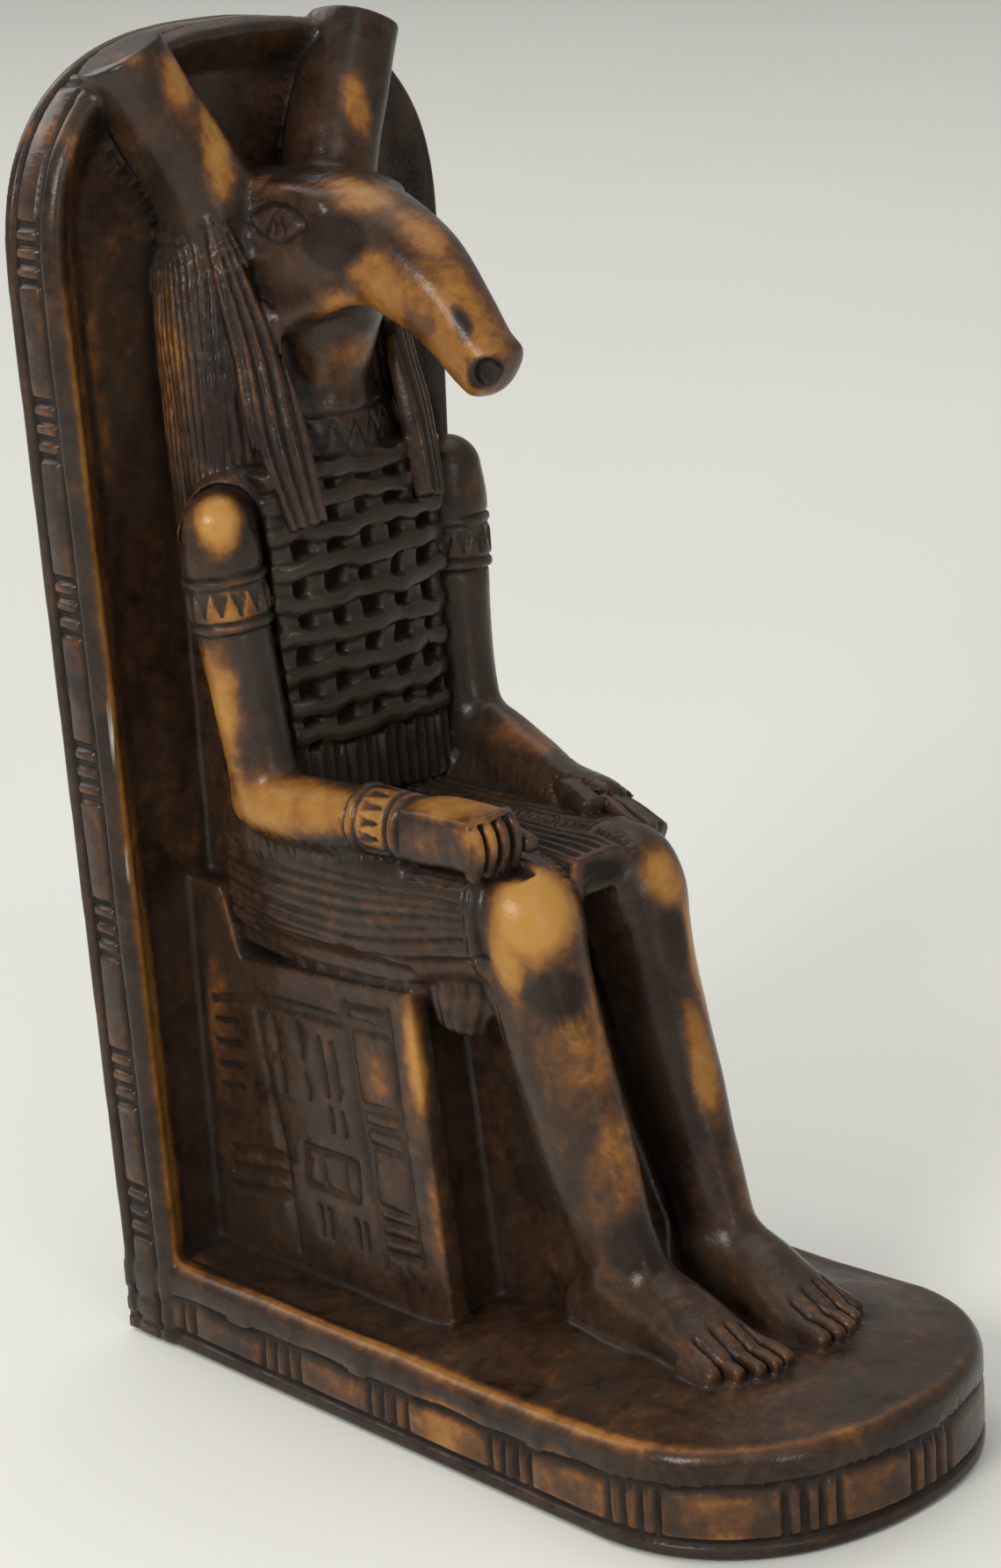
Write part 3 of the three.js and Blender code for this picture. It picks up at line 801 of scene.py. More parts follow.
@dataclass
class Trunk(Part):
    """Chest, shoulders and the stone that ties the back to the slab."""

    shoulder_z: float = 160.5

    def sculpt(self, clay: Clay) -> None:
        """Adds the trunk to the block."""
        clay.add(Rod([
            (0, 61, 99, 20.5, 13), (0, 61, 118, 19.4, 13.4), (0, 61, 150, 20.4, 14),
            (0, 60.5, 168, 20, 14), (0, 60, 175, 14, 12),
        ], power=3.0), 1.5)
        z = self.shoulder_z
        clay.add(Rod([
            (-27, 55, z - 1, 6, 6.5), (-20, 55.5, z + 3, 7.6, 8), (0, 58, z + 5.5, 11, 8.5),
            (20, 55.5, z + 3, 7.6, 8), (27, 55, z - 1, 6, 6.5),
        ], across=(0, 1, 0)), 2.5)
        clay.add(Block((-19, 60, 78), (19, BACK_Y - 7, 172), 1.5), 2.0)


@dataclass
class Corselet(Part):
    """Basket weave on the chest: wavy level bands over upright bars, with holes between."""

    half: float = 21.4
    front_y: float = 42.3
    side_fall: float = 3.4
    slant: float = 0.85
    levels: tuple[float, ...] = (120.6, 126.4, 132.7, 139.2, 145.8, 152.4, 158.6, 164.4, 169.4)
    band_half: float = 1.75
    pitch: float = 7.4
    hole_half: float = 1.45
    hole_depth: float = 4.2
    bar_depth: float = 1.35
    bottom: float = 106.0
    weave_foot: float = 118.0
    fray_pitch: float = 6.3

    def front(self, x: Array) -> Array:
        """Y of the weave's foremost bands."""
        return self.front_y + self.side_fall * np.abs(x / self.half) ** 3

    def depth(self, x: Array, z: Array) -> Array:
        """How far the weave's surface lies behind its foremost bands."""
        nearest = np.full(np.broadcast(x, z).shape, FAR, np.float32)
        over = np.zeros_like(nearest)
        for row, level in enumerate(self.levels):
            wave = 0.45 * np.sin(0.29 * x + 2.1 * row) + 0.25 * np.sin(0.83 * x + 1.3 * row)
            away = np.abs(z - level - wave)
            weave = 0.45 * np.cos(math.pi * x / self.pitch + math.pi * row)
            over = np.where(away < nearest, weave, over)
            nearest = np.minimum(nearest, away)
        band = 1.0 - step(nearest, self.band_half - 0.35, self.band_half + 0.35)
        crown = 0.25 * (nearest / self.band_half) ** 2
        turn = x / self.pitch + 0.5 + 0.03 * np.sin(z * 0.35)
        off_hole = np.abs(turn - np.floor(turn) - 0.5) * self.pitch
        uneven = 0.45 * np.sin(1.9 * np.floor(turn) + 0.21 * z) + 0.3 * np.sin(0.9 * x + 0.47 * z)
        bar = step(off_hole + uneven, self.hole_half - 0.4, self.hole_half + 0.5)
        between = self.bar_depth + (self.hole_depth - self.bar_depth) * (1.0 - bar)
        woven = band * (0.3 + over + crown) + (1.0 - band) * between
        strands = 1.5 + 0.45 * np.cos(TAU * (x + 0.04 * (z - self.bottom)) / 2.5)
        lowest = step(z, self.weave_foot - 0.5, self.weave_foot + 0.5)
        return woven * lowest + strands * (1.0 - lowest)

    def sculpt(self, clay: Clay) -> None:
        """Adds the corselet to the block."""
        slices, (x, y, z) = clay.window((-26, 36, 100), (26, 62, 178))
        face = (self.front(x) + self.depth(x, z) - y) * self.slant
        frays = 0.5 * np.cos(TAU * (z - self.levels[0]) / self.fray_pitch)
        side = np.abs(x) - self.half - frays * step(z, self.weave_foot, self.weave_foot + 3.0)
        ends = np.maximum(z - 171.6, self.bottom - z)
        made = soft_max(soft_max(face, side, 1.4), np.maximum(ends, y - 57.0), 0.8)
        clay.field_mm[slices] = soft_min(clay.field_mm[slices], made.astype(np.float32), 0.5)

    def wax_and_shade(self, points: Array) -> Array:
        """The holes of the weave are darkened: dark wax in them, with painted shade."""
        x, y, z = points.T
        chest = step(np.abs(x), 22.6, 21.4) * step(z, 104.5, 106.0) * step(z, 173.0, 171.0)
        return 0.95 * chest * step(y, 58.0, 54.0) * step(y - self.front(x), 1.5, 2.6)

    def rubs(self) -> list[Rub]:
        """Light rubbing of the foremost bands."""
        return places((0, 42, 127, 20, 2.4, 8, 0.24), (-8, 42, 150, 14, 2.4, 8, 0.12))

    def stains(self) -> list[Rub]:
        """The weave is darker than the skin beside it."""
        return places((0, 46, 138, 30, 10, 50, 0.32), (0, 44, 112, 30, 10, 8, 0.25))


@dataclass
class Collar(Part):
    """The neck and the zigzag line cut round its foot."""

    zigzag_foot: float = 172.6
    zigzag_rise: float = 5.0
    tooth: float = 4.6
    cut: float = 0.5

    def sculpt(self, clay: Clay) -> None:
        """Adds the neck to the block."""
        clay.add(Rod([
            (0, 57, 160, 15, 11.5), (0, 55.6, 171, 13, 11.8), (0, 54.6, 178, 10.2, 10.2),
            (0, 54, 185, 8.8, 9.2), (0, 52.4, 192, 9.6, 10.4), (0, 51, 200, 11, 12.5),
        ]), 2.5)
        clay.carve((-14, 36, 166), (14, 56, 182), self.cuts)

    def cuts(self, x: Array, y: Array, z: Array) -> Array:
        """Depth of the zigzag and its border line."""
        turn = x / self.tooth
        peak = np.abs(turn - np.floor(turn) - 0.5) * 2.0
        zigzag = stroke((z - self.zigzag_foot - self.zigzag_rise * peak) * 0.42, 0.75)
        border = stroke(z - self.zigzag_foot - self.zigzag_rise - 1.2, 0.8)
        return self.cut * np.maximum(zigzag, border) * step(np.abs(x), 12.5, 11.0)

    def rubs(self) -> list[Rub]:
        """The front of the neck is thinly waxed."""
        return places((-3, 44, 184, 10, 6, 12, 0.34))


@dataclass
class Head(Part):
    """The animal's head, with a long snout bent down to a blunt tip."""

    nose_holes: tuple[tuple[tuple[float, ...], ...], ...] = (
        ((-2.2, 4.6, 190.0, 2.4, 2.1), (-6.8, 1.0, 190.2, 3.3, 2.7)),
        ((4.0, 8.2, 191.4, 1.6, 1.5), (8.6, 7.0, 191.6, 2.2, 1.9)),
    )
    eye: Point = (10.6, 47.6, 214.8)
    eye_half: float = 6.9
    lid_up: float = 2.9
    lid_down: float = 3.5
    lid_depth: float = 0.6
    pupil: tuple[tuple[tuple[float, float], tuple[float, float]], ...] = (
        ((47.4, 217.4), (49.8, 212.6)), ((47.4, 217.4), (45.0, 212.8)), ((47.4, 215.0), (47.2, 212.2)),
    )

    def sculpt(self, clay: Clay) -> None:
        """Adds the head to the block."""
        clay.add(Rod([
            (0, 74, 209, 12, 12.5), (0, 66, 208.2, 13.6, 14), (0, 56, 208.6, 13.9, 14),
            (0, 46, 209.6, 12.9, 13), (0, 38.5, 210.2, 11.4, 11), (0, 31.5, 208.6, 10.1, 9.8),
            (0, 25, 205.8, 9.1, 9.2), (0, 19.3, 202.2, 8, 8.2), (0, 13.8, 197.4, 6.9, 7.1),
            (0, 9.2, 192.8, 6.2, 6.4), (0, 6.2, 190.4, 6, 6.2),
        ], power=2.3, end=2.8), 2.0)
        for side in SIDES:
            clay.add(Rod(mirrored(side, [
                (11.8, 60, 198.6, 1.6, 1.6), (11.7, 51, 196.6, 1.9, 1.9), (10.4, 42, 199.6, 1.9, 1.9),
                (8.2, 34.5, 202.2, 1.5, 1.5),
            ])), 4.0)
            clay.add(Rod(mirrored(side, [
                (9.8, 58, 219, 1.2, 1), (9.6, 48, 219.6, 1.4, 1.2), (8.4, 39, 218.2, 1.2, 1),
            ]), across=(side, 0, 0)), 3.5)
            clay.add(Ball((side * 9.9, self.eye[1], 214.6), (2.2, 5.9, 2.9)), 1.2)
        for hole in self.nose_holes:
            clay.cut(Rod(hole, across=(0, 0, 1), end=0.8, steps=1), 0.5)
        clay.carve((-17, 36, 206), (17, 59, 222), self.lids)

    def lids(self, x: Array, y: Array, z: Array) -> Array:
        """Depth of the cuts that draw the almond eye and its pupil."""
        along = (y - self.eye[1]) / self.eye_half
        open_share = np.maximum(1.0 - along * along, 0.0)
        middle = self.eye[2] + 0.4 * along
        upper = np.abs(z - middle - self.lid_up * open_share) / np.sqrt(1.0 + (0.8 * along) ** 2)
        lower = np.abs(z - middle + self.lid_down * open_share) / np.sqrt(1.0 + along**2)
        inside = step(np.abs(along), 1.12, 1.02)
        cut = np.maximum(stroke(upper, 0.95), stroke(lower, 0.85)) * inside
        for start, end in self.pupil:
            cut = np.maximum(cut, 0.55 * stroke(segment(y, z, start, end), 0.75))
        return self.lid_depth * cut * step(np.abs(x), 6.0, 7.0)

    def rubs(self) -> list[Rub]:
        """Snout, brow and jaw show the honey-coloured casting."""
        return places(
            (-3, 10, 193, 12, 14, 14, 0.62), (-5, 24, 203, 10, 12, 9, 0.74),
            (-8, 34, 200, 6, 14, 5, 0.62), (-3, 34, 219, 8, 14, 5, 0.6),
            (-8, 52, 220.5, 5, 12, 3.2, 0.72), (-1, 22, 211.5, 7, 16, 9, 0.6),
            (-3, 14, 202, 9, 14, 12, 0.66), (-9, 26, 207, 4, 9, 5, 0.66), (0, 44, 190, 9, 14, 5, 0.5),
            (-12, 45, 206, 5, 18, 12, 0.22),
        )

    def stains(self) -> list[Rub]:
        """Dark patches before the eye, on crown and forehead, on the snout and in its nose hole."""
        return places(
            (-10, 34.5, 211.5, 5, 7, 5, 0.85), (-4.6, 8, 198.6, 1.2, 2.4, 4.6, 0.85),
            (-2, 62, 222, 7, 7, 4, 0.6), (-6, 50, 222.5, 6, 6, 3.4, 0.75),
            (-3.8, 3.6, 189.8, 3.6, 3.2, 3.4, 2.2),
        )

    def chips(self) -> list[Rub]:
        """A pale scratch at the corner of the eye."""
        return places((-10.4, 54.6, 217.2, 1.5, 1.5, 2, 0.62))


@dataclass
class Ears(Part):
    """Two tall round ears with flat tops, spread outwards and leaning back onto the slab."""

    stations: tuple[tuple[float, ...], ...] = (
        (11.5, 62.5, 208.0, 9.4, 8.8), (15.0, 64.8, 220.0, 9.2, 8.4),
        (21.6, 67.2, 233.2, 8.8, 8.0), (27.4, 69.0, 245.2, 8.3, 7.8),
    )

    def sculpt(self, clay: Clay) -> None:
        """Adds both ears to the block."""
        for side in SIDES:
            clay.add(Rod(mirrored(side, self.stations), across=(0, 1, 0), power=2.3, end=1.0), 2.2)
            clay.cut(Rod(mirrored(side, [
                (27.7, 69.1, 246.4, 7, 6.5), (28.6, 69.3, 248.4, 7.3, 6.8),
            ]),
                         across=(0, 1, 0), end=0.4, steps=1), 0.5)

    def rubs(self) -> list[Rub]:
        """The front edges and the rims of the tops are rubbed."""
        return places(
            (-16.5, 57.5, 227, 4.5, 6, 14, 0.92), (-22, 60, 240, 5, 5, 10, 0.85),
            (-27, 62, 245.5, 9, 7, 3, 0.5), (17.6, 58.6, 231, 4, 4, 12, 0.78),
        )

    def stains(self) -> list[Rub]:
        """The back edge, the foot and the flat top of the near ear stay dark."""
        return places(
            (-28, 64, 247.5, 10, 8, 2.2, 0.7), (-23, 63, 229, 4, 5, 12, 0.4),
            (-14.5, 60, 215, 4, 6, 5, 0.5),
        )


@dataclass
class HeadCloth(Part):
    """The striped cloth: a wide fall behind the shoulders and two lappets on the chest."""

    strands: int = 60
    strand_depth: float = 0.75
    lappet_strands: float = 2.0
    lappet_depth: float = 0.8

    def sculpt(self, clay: Clay) -> None:
        """Adds the cloth to the block."""
        clay.add(Rod([
            (0, 70, 213.5, 20.5, 9), (0, 66.4, 208, 23.4, 12.6), (0, 65, 198, 24.8, 14),
            (0, 63.5, 184, 25.8, 14.4), (0, 62.5, 170, 26.2, 13.8), (0, 62, 156, 25.8, 13),
        ], power=2.5, end=3.0, relief=self.fall_strands), 1.0)
        for side in SIDES:
            clay.add(Rod(mirrored(side, [
                (18.6, 57, 215, 1.6, 1), (17.9, 53.8, 204, 3.4, 1.8), (16.4, 50.6, 191, 4.5, 2.3),
                (16.2, 46.4, 176, 5.3, 2.6), (14.9, 42.4, 161, 4, 2.3),
            ]), across=(side * 0.83, 0.56, 0.0), power=3.4, end=0.8, steps=8,
                relief=self.lappet_furrows), 0.4)

    def fall_strands(self, u: Array, v: Array, t: Array) -> Array:
        """Depth of the fine cuts between the strands of the fall."""
        angle = np.arctan2(v, u)
        wander = 0.9 * np.sin(5.0 * t + 3.0 * angle) + 0.5 * np.sin(14.0 * t + 9.0 * angle)
        uneven = 0.75 + 0.25 * np.sin(17.0 * angle + 4.0 * t)
        wave = (0.5 - 0.5 * np.cos(self.strands * angle + wander)) ** 2
        return self.strand_depth * uneven * wave * step(t, 0.02, 0.26)

    def lappet_furrows(self, u: Array, v: Array, t: Array) -> Array:
        """Depth of the long furrows of a lappet."""
        wander = 0.25 * np.sin(5.0 * t)
        wave = 0.5 - 0.5 * np.cos(TAU * (self.lappet_strands * u + wander))
        return self.lappet_depth * wave**2

    def rubs(self) -> list[Rub]:
        """The ridges of the near lappet are rubbed."""
        return places(
            (-17, 49, 188, 6, 8, 30, 0.18), (-25.5, 66, 190, 4, 9, 32, 0.42),
            (17, 44, 184, 5, 6, 18, 0.25),
        )

    def stains(self) -> list[Rub]:
        """The cloth is dark between the near lappet and the fall."""
        return places((-22, 55, 188, 4, 4, 22, 0.25))


@dataclass
class Arm(Part):
    """One arm with an armband; the near one has a cuff, the far forearm lies lower, in the lap."""

    side: int
    shoulder: Point = (27.6, 51.6, 162.5)
    elbow_x: float = 25.6
    wrist_x: float = 20.5
    near_heights: tuple[float, float] = (110.0, 110.6)
    far_heights: tuple[float, float] = (111.6, 105.4)
    teeth: int = 13
    band_cut: float = 0.6

    def heights(self) -> tuple[float, float, float]:
        """Heights of the elbow, the middle of the forearm and the wrist."""
        elbow, wrist = self.near_heights if self.side < 0 else self.far_heights
        return elbow, (elbow + wrist) / 2, wrist

    def sculpt(self, clay: Clay) -> None:
        """Adds the arm to the block."""
        side = self.side
        x, y, z = self.shoulder
        elbow, middle, wrist = self.heights()
        clay.add(Rod(mirrored(side, [
            (self.elbow_x - 3, 52, 103.4, 5, 7), (self.wrist_x, 14, 101.4, 5, 5),
        ])), 1.5)
        clay.press(Rod(mirrored(side, [
            (x, y, z, 6.6, 6.8), (x, 51.6, 156, 7.4, 7.4), (27.2, 51.2, 146, 7, 7),
            (26.2, 50.2, 134, 6.4, 6.7), (self.elbow_x, 48.6, 122, 6.1, 6.6),
            (self.elbow_x, 46.6, elbow + 1.5, 6.1, 6.8),
        ]), end=6.2), 1.0, 1.6)
        clay.add(Rod(mirrored(side, [
            (self.elbow_x, 48, elbow + 0.8, 5.4, 5.6), (self.elbow_x, 42, elbow + 0.4, 6.1, 6.5),
            (self.elbow_x - 1.4, 31, middle, 6.3, 6.4), (self.wrist_x + 1.6, 19, wrist + 0.4, 5.5, 5.7),
            (self.wrist_x, 7, wrist, 5, 5),
        ])), 2.0)
        clay.press(Rod(mirrored(side, [
            (27.4, 51.7, 153, 7.9, 7.8), (27, 51, 143.6, 7.6, 7.6),
        ]), end=0.7, steps=1, relief=self.teeth_cuts), 0.4, 0.5)
        if side > 0:
            return
        clay.press(Rod(mirrored(side, [
            (self.wrist_x + 2, 22, wrist + 0.6, 6.4, 6.6),
            (self.wrist_x + 0.5, 11.8, wrist + 0.2, 5.9, 6.2),
        ]), end=0.7, steps=1, relief=self.teeth_cuts), 0.4, 0.5)

    def teeth_cuts(self, u: Array, v: Array, t: Array) -> Array:
        """Depth of the two border lines and the triangles between them."""
        turn = np.arctan2(v, u) * self.teeth / TAU
        peak = np.abs(turn - np.floor(turn) - 0.5) * 2.0
        rise = (t - 0.22) / 0.56
        tooth = step(peak - rise, -0.08, 0.12) * step(t, 0.20, 0.25) * step(t, 0.80, 0.75)
        border = np.maximum(stroke(t - 0.17, 0.09), stroke(t - 0.83, 0.09))
        return self.band_cut * np.maximum(tooth, border)

    def rubs(self) -> list[Rub]:
        """Shoulder, outer edge and forearm are rubbed, most on the near arm."""
        if self.side > 0:
            return places((28, 44.5, 158, 4, 4, 8, 0.3), (24, 30, 114, 7, 20, 5, 0.45))
        return places(
            (-31.5, 46.5, 165, 5.6, 5.6, 8.6, 1.15), (-31, 46, 148.4, 9, 7, 6, 0.6),
            (-32, 50, 130, 5.4, 6, 20, 0.78), (-30, 40, 112, 7, 18, 8, 0.78),
            (-28, 30, 113, 6, 16, 7, 0.78), (-24.5, 16, 111.5, 8, 7, 8, 0.85),
        )

    def stains(self) -> list[Rub]:
        """The near arm stays dark round the shoulder oval and on its inner side."""
        if self.side > 0:
            return []
        return places((-23, 44, 132, 4, 6, 20, 0.35), (-27, 22, 106, 6, 14, 3, 0.5))


@dataclass
class Fist(Part):
    """The right hand, closed on the thigh."""

    first_x: float = -23.3
    finger_step: float = 3.05

    def sculpt(self, clay: Clay) -> None:
        """Adds the fist to the block."""
        clay.add(Rod([
            (-20.8, 13, 110.4, 4.6, 5), (-19.8, 6, 110.9, 5.8, 5.4), (-19.3, -1, 111.2, 5.9, 5.2),
            (-19.3, -6.8, 111.2, 5.9, 5.1),
        ], power=5.0, end=1.2), 1.0)
        clay.add(Rod([
            (-13.4, 5, 109.6, 2.3, 2.4), (-11.7, -2, 109.8, 2.2, 2.3), (-11.4, -8.2, 109.2, 1.9, 2),
        ]), 0.5)
        clay.cut(Block((-24.6, -12.0, 104.0), (-13.2, -6.6, 115.3), 1.0), 0.3)
        for i in range(4):
            x = self.first_x + self.finger_step * i
            clay.add(Rod([
                (x, -5.6, 115, 1, 1.2), (x, -7.4, 112.8, 1.05, 1.5), (x, -7.6, 109.4, 1.05, 1.7),
                (x, -6.4, 105.8, 1, 1.5),
            ], power=2.6), 0.15)

    def rubs(self) -> list[Rub]:
        """The back of the fist and the knuckles are rubbed."""
        return places(
            (-19.5, 2, 116.5, 8, 12, 4, 1), (-22, -7.5, 112.5, 6, 5, 5.5, 0.75),
            (-25, 3, 111, 4, 9, 4, 0.5),
        )


@dataclass
class OpenHand(Part):
    """The left hand, flat on the other thigh with its fingers to the knee."""

    tips: tuple[Point, ...] = (
        (17.4, -5.2, 103.2), (20.2, -6.4, 102.6), (22.9, -5.4, 101.8), (25.3, -3.4, 100.4),
    )
    roots: tuple[Point, ...] = (
        (18.8, 10.0, 106.4), (21.0, 10.6, 106.0), (23.2, 10.8, 105.0), (25.2, 11.0, 103.4),
    )

    def sculpt(self, clay: Clay) -> None:
        """Adds the hand to the block."""
        clay.add(Rod([
            (21.2, 19, 105.6, 5.2, 4.8), (21.4, 12, 105, 6.2, 4), (21.4, 6, 104.6, 6, 3),
        ], power=2.6), 1.8)
        for (x, y, z), (tip_x, tip_y, tip_z) in zip(self.roots, self.tips):
            clay.press(Rod([
                (x, y, z + 0.6, 1.45, 2),
                ((x + tip_x) / 2, (y + tip_y) / 2, (z + tip_z) / 2 + 1.5, 1.5, 2),
                (tip_x, tip_y, tip_z + 0.4, 1.5, 2),
            ], power=3.0, end=0.8), 0.4, 0.9)
        clay.press(Rod([
            (20.4, 18, 106.6, 2.4, 2.6), (17.2, 10.6, 107.4, 2.5, 2.5), (14.7, 2.8, 106.8, 2.4, 2.2),
        ], power=3.0, end=0.8), 0.4, 0.9)

    def rubs(self) -> list[Rub]:
        """A little rubbing on the knuckles."""
        return places((18, -1, 107.5, 8, 4, 2.4, 0.3))


@dataclass
class Kilt(Part):
    """The pleated kilt over both thighs, with its stiff front piece between the knees."""

    pleat_pitch: float = 2.35
    pleat_depth: float = 0.6
    lip: float = -0.43
    tab_half: float = 6.1
    tab_pleats: float = 2.4

    def sculpt(self, clay: Clay) -> None:
        """Adds the kilt to the block."""
        clay.add(Block((-13.5, 6, 82), (13.5, 62, 104.0), 2.0), 1.0)
        for side in SIDES:
            clay.add(Rod(mirrored(side, [
                (13, 60.5, 93.2, 12.6, 12.2), (13.4, 44, 92.2, 14.1, 13.2),
                (13.6, 20, 92.6, 13.8, 12.9), (13.2, 4, 94.4, 12.4, 11.8), (13, -5, 95.4, 11.4, 10.8),
            ]), power=3.1, end=0.8, relief=self.pleats_of(side)), 1.2)
            clay.add(Rod(mirrored(side, [
                (16.4, 60, 81, 6.2, 3), (17, 40, 80.4, 6.2, 3.6), (17, 14, 81.4, 6, 3.6),
            ]), power=2.6), 1.2)
            clay.add(Rod(mirrored(side, [
                (16.6, 4.6, 86, 5, 7.4), (17, 4.8, 79.5, 5.6, 7.6), (17, 5.4, 75.4, 4.8, 6.6),
            ]), end=3.0, relief=self.roll_pleats), 1.4)
            clay.cut(Rod(mirrored(side, [
                (29.2, 54, 82.6, 5.2, 4.2), (29.2, 34, 82, 5.2, 4.2), (29, 10, 83.6, 5.2, 4),
            ]), end=2.0), 0.5)
        hips = [(0, 59, 102, 21.4, 14), (0, 59, 108, 20.2, 13.6)]
        clay.add(Rod(hips, power=3.0, end=2.0, steps=1), 1.5)
        clay.press(Rod([
            (0.4, 46, 102.8, self.tab_half, 3), (0.4, 24, 103.2, self.tab_half, 3.2),
            (0.4, 5, 102.8, self.tab_half, 3.3), (0.4, -5, 102.3, self.tab_half + 0.1, 3.6),
            (0.4, -13.2, 101.8, self.tab_half + 0.2, 3.7),
        ], power=6.0, end=0.4, steps=6, relief=self.tab_furrows), 0.6, 1.0)

    def pleats_of(self, side: int) -> Relief:
        """The pleats of one thigh, as a depth for each place round and along it.

        Args:
            side: -1 for the right thigh and 1 for the left one.

        Returns:
            The relief of the thigh.
        """
        def relief(u: Array, v: Array, t: Array) -> Array:
            """Depth of the long pleats, the hem and the smooth lip below them."""
            girth = 13.0 * (v - side * u) + 0.5 * np.sin(5.0 * t + 4.0 * v) + 1.6 * t * (v - 0.3)
            wave = 0.5 - 0.5 * np.cos(TAU * girth / self.pleat_pitch)
            uneven = 0.7 + 0.3 * np.sin(1.3 * girth + 3.0 * t)
            pleats = self.pleat_depth * uneven * wave**2
            above = step(v, self.lip - 0.02, self.lip + 0.05)
            under = 0.7 * stroke(v - self.lip + 0.03, 0.075) * step(side * u, 0.5, 0.7)
            hem = 0.6 * stroke(t - 0.972, 0.012)
            return np.maximum(np.maximum(pleats * above * step(t, 0.965, 0.95), under), hem)
        return relief

    def roll_pleats(self, u: Array, v: Array, t: Array) -> Array:
        """Depth of the cuts in the roll of cloth under the thigh."""
        return 0.35 * (0.5 - 0.5 * np.cos(14.0 * np.arctan2(v, u))) ** 2

    def tab_furrows(self, u: Array, v: Array, t: Array) -> Array:
        """Depth of the pleats of the front piece."""
        wave = 0.5 - 0.5 * np.cos(TAU * self.tab_pleats * u + 0.6 * np.sin(6.0 * t))
        return 0.6 * wave**2 * step(v, -0.2, 0.3) * step(t, 0.972, 0.945)

    def rubs(self) -> list[Rub]:
        """The kilt's near side, the front piece's end and the roll are slightly worn."""
        return places(
            (-27, 26, 96, 5, 34, 9, 0.26), (0, -12, 103, 12, 5, 4, 0.42), (-21, 0, 81, 6, 9, 8, 0.28),
            (0, 20, 108, 12, 30, 3, 0.2),
        )


@dataclass
class Leg(Part):
    """One bare leg from the kilt's hem down to the toes."""

    side: int
    knee_x: float = 12.6
    near_foot_x: float = -9.9
    far_foot_x: float = 12.9
    toe_reach: tuple[float, ...] = (-58.6, -59.0, -58.2, -56.4, -53.6)
    first_toe: float = -6.6
    toe_step: float = 3.35
    slit_depth: float = 1.1
    slit_root: float = -47.4

    def foot_x(self) -> float:
        """Both feet stand a little to the figure's left of the knees."""
        return self.near_foot_x if self.side < 0 else self.far_foot_x

    def sculpt(self, clay: Clay) -> None:
        """Adds the leg to the block."""
        x, foot = self.side * self.knee_x, self.foot_x()
        middle = (x + foot) / 2
        clay.add(Rod([(x, 8, 95, 9.2, 9.2), (x, -2, 96, 9.6, 9.8), (x, -8.4, 94.6, 9.2, 10.2)]), 1.0)
        clay.add(Rod([
            (x, -6.5, 97, 9, 9), (x, -9.6, 90, 8.6, 9.2), (x, -12.4, 76, 8, 9.6),
            (middle, -16.8, 58, 7.6, 9.8), (middle, -22.4, 43, 6.5, 8.6), (foot, -26.6, 31, 6, 8),
            (foot, -28.4, 22, 6.6, 9),
        ], power=2.15), 3.0)
        clay.add(Rod([
            (foot, -16.5, 23.4, 5.4, 5), (foot, -24, 27, 6.2, 7.4), (foot, -34, 27.4, 6.8, 6.8),
            (foot - 0.3 * self.side, -43, 24.6, 7.8, 5), (foot, -50, 22.6, 8.2, 3.6),
        ], power=2.2), 3.0)
        for i, reach in enumerate(self.toe_reach):
            toe_x = foot + self.side * (self.first_toe + self.toe_step * i)
            clay.add(Rod([
                (toe_x, -46, 21.6, 1.7, 2.4), (toe_x, reach + 5, 21.9, 1.85, 2.6),
                (toe_x, reach + 1.2, 21.3, 1.8, 2.5),
            ], power=2.8, end=1.2), 0.9)
        clay.carve((foot - 10, -62, 18.0), (foot + 10, -44, 29.0), self.toe_slits)
        for bulge in SIDES:
            clay.add(Ball((foot + bulge * 5.2, -26.5, 30.5), (2.2, 3.0, 3.0)), 2.5)

    def toe_slits(self, x: Array, y: Array, z: Array) -> Array:
        """Depth of the slits between the toes."""
        place = (self.side * (x - self.foot_x()) - self.first_toe) / self.toe_step
        off = np.abs(place - np.floor(place) - 0.5) * self.toe_step
        between = step(place, -0.1, 0.1) * step(place, 4.1, 3.9)
        start = self.slit_root + 0.5 * np.floor(place)
        above_base = step(z, 20.9, 21.8)
        return self.slit_depth * stroke(off, 0.85) * between * step(y, start, start - 1.8) * above_base

    def rubs(self) -> list[Rub]:
        """Knee and shin are rubbed most."""
        if self.side > 0:
            return places(
                (13, -17, 98, 6.5, 7, 9, 0.8), (17.5, -18, 80, 5, 8, 22, 0.85),
                (12.6, -25, 64, 5, 6, 22, 0.66), (14.5, -31, 42, 4, 6, 14, 0.42),
                (13, -57, 24, 8, 4, 4, 0.3),
            )
        return places(
            (-17, -14.5, 99, 11, 8.5, 12, 1.2), (-20, -11, 91, 7, 5.5, 9, 0.95),
            (-12, -19, 72, 11, 9, 24, 0.58), (-11, -26, 50, 9, 8, 22, 0.5),
            (-11, -50, 24, 10, 10, 4, 0.14),
        )

    def stains(self) -> list[Rub]:
        """Thick wax below both knees, by the near ankle and on the far leg's inner side."""
        if self.side > 0:
            return places((6.4, -20, 66, 4, 8, 34, 0.35), (12, -20, 88, 3.5, 5, 6, 0.6))
        return places(
            (-16, -19, 84.5, 6, 6, 4.2, 0.95), (-12, -31, 40, 7, 6, 6, 0.5),
            (-9, -2, 60, 12, 8, 30, 0.2),
        )


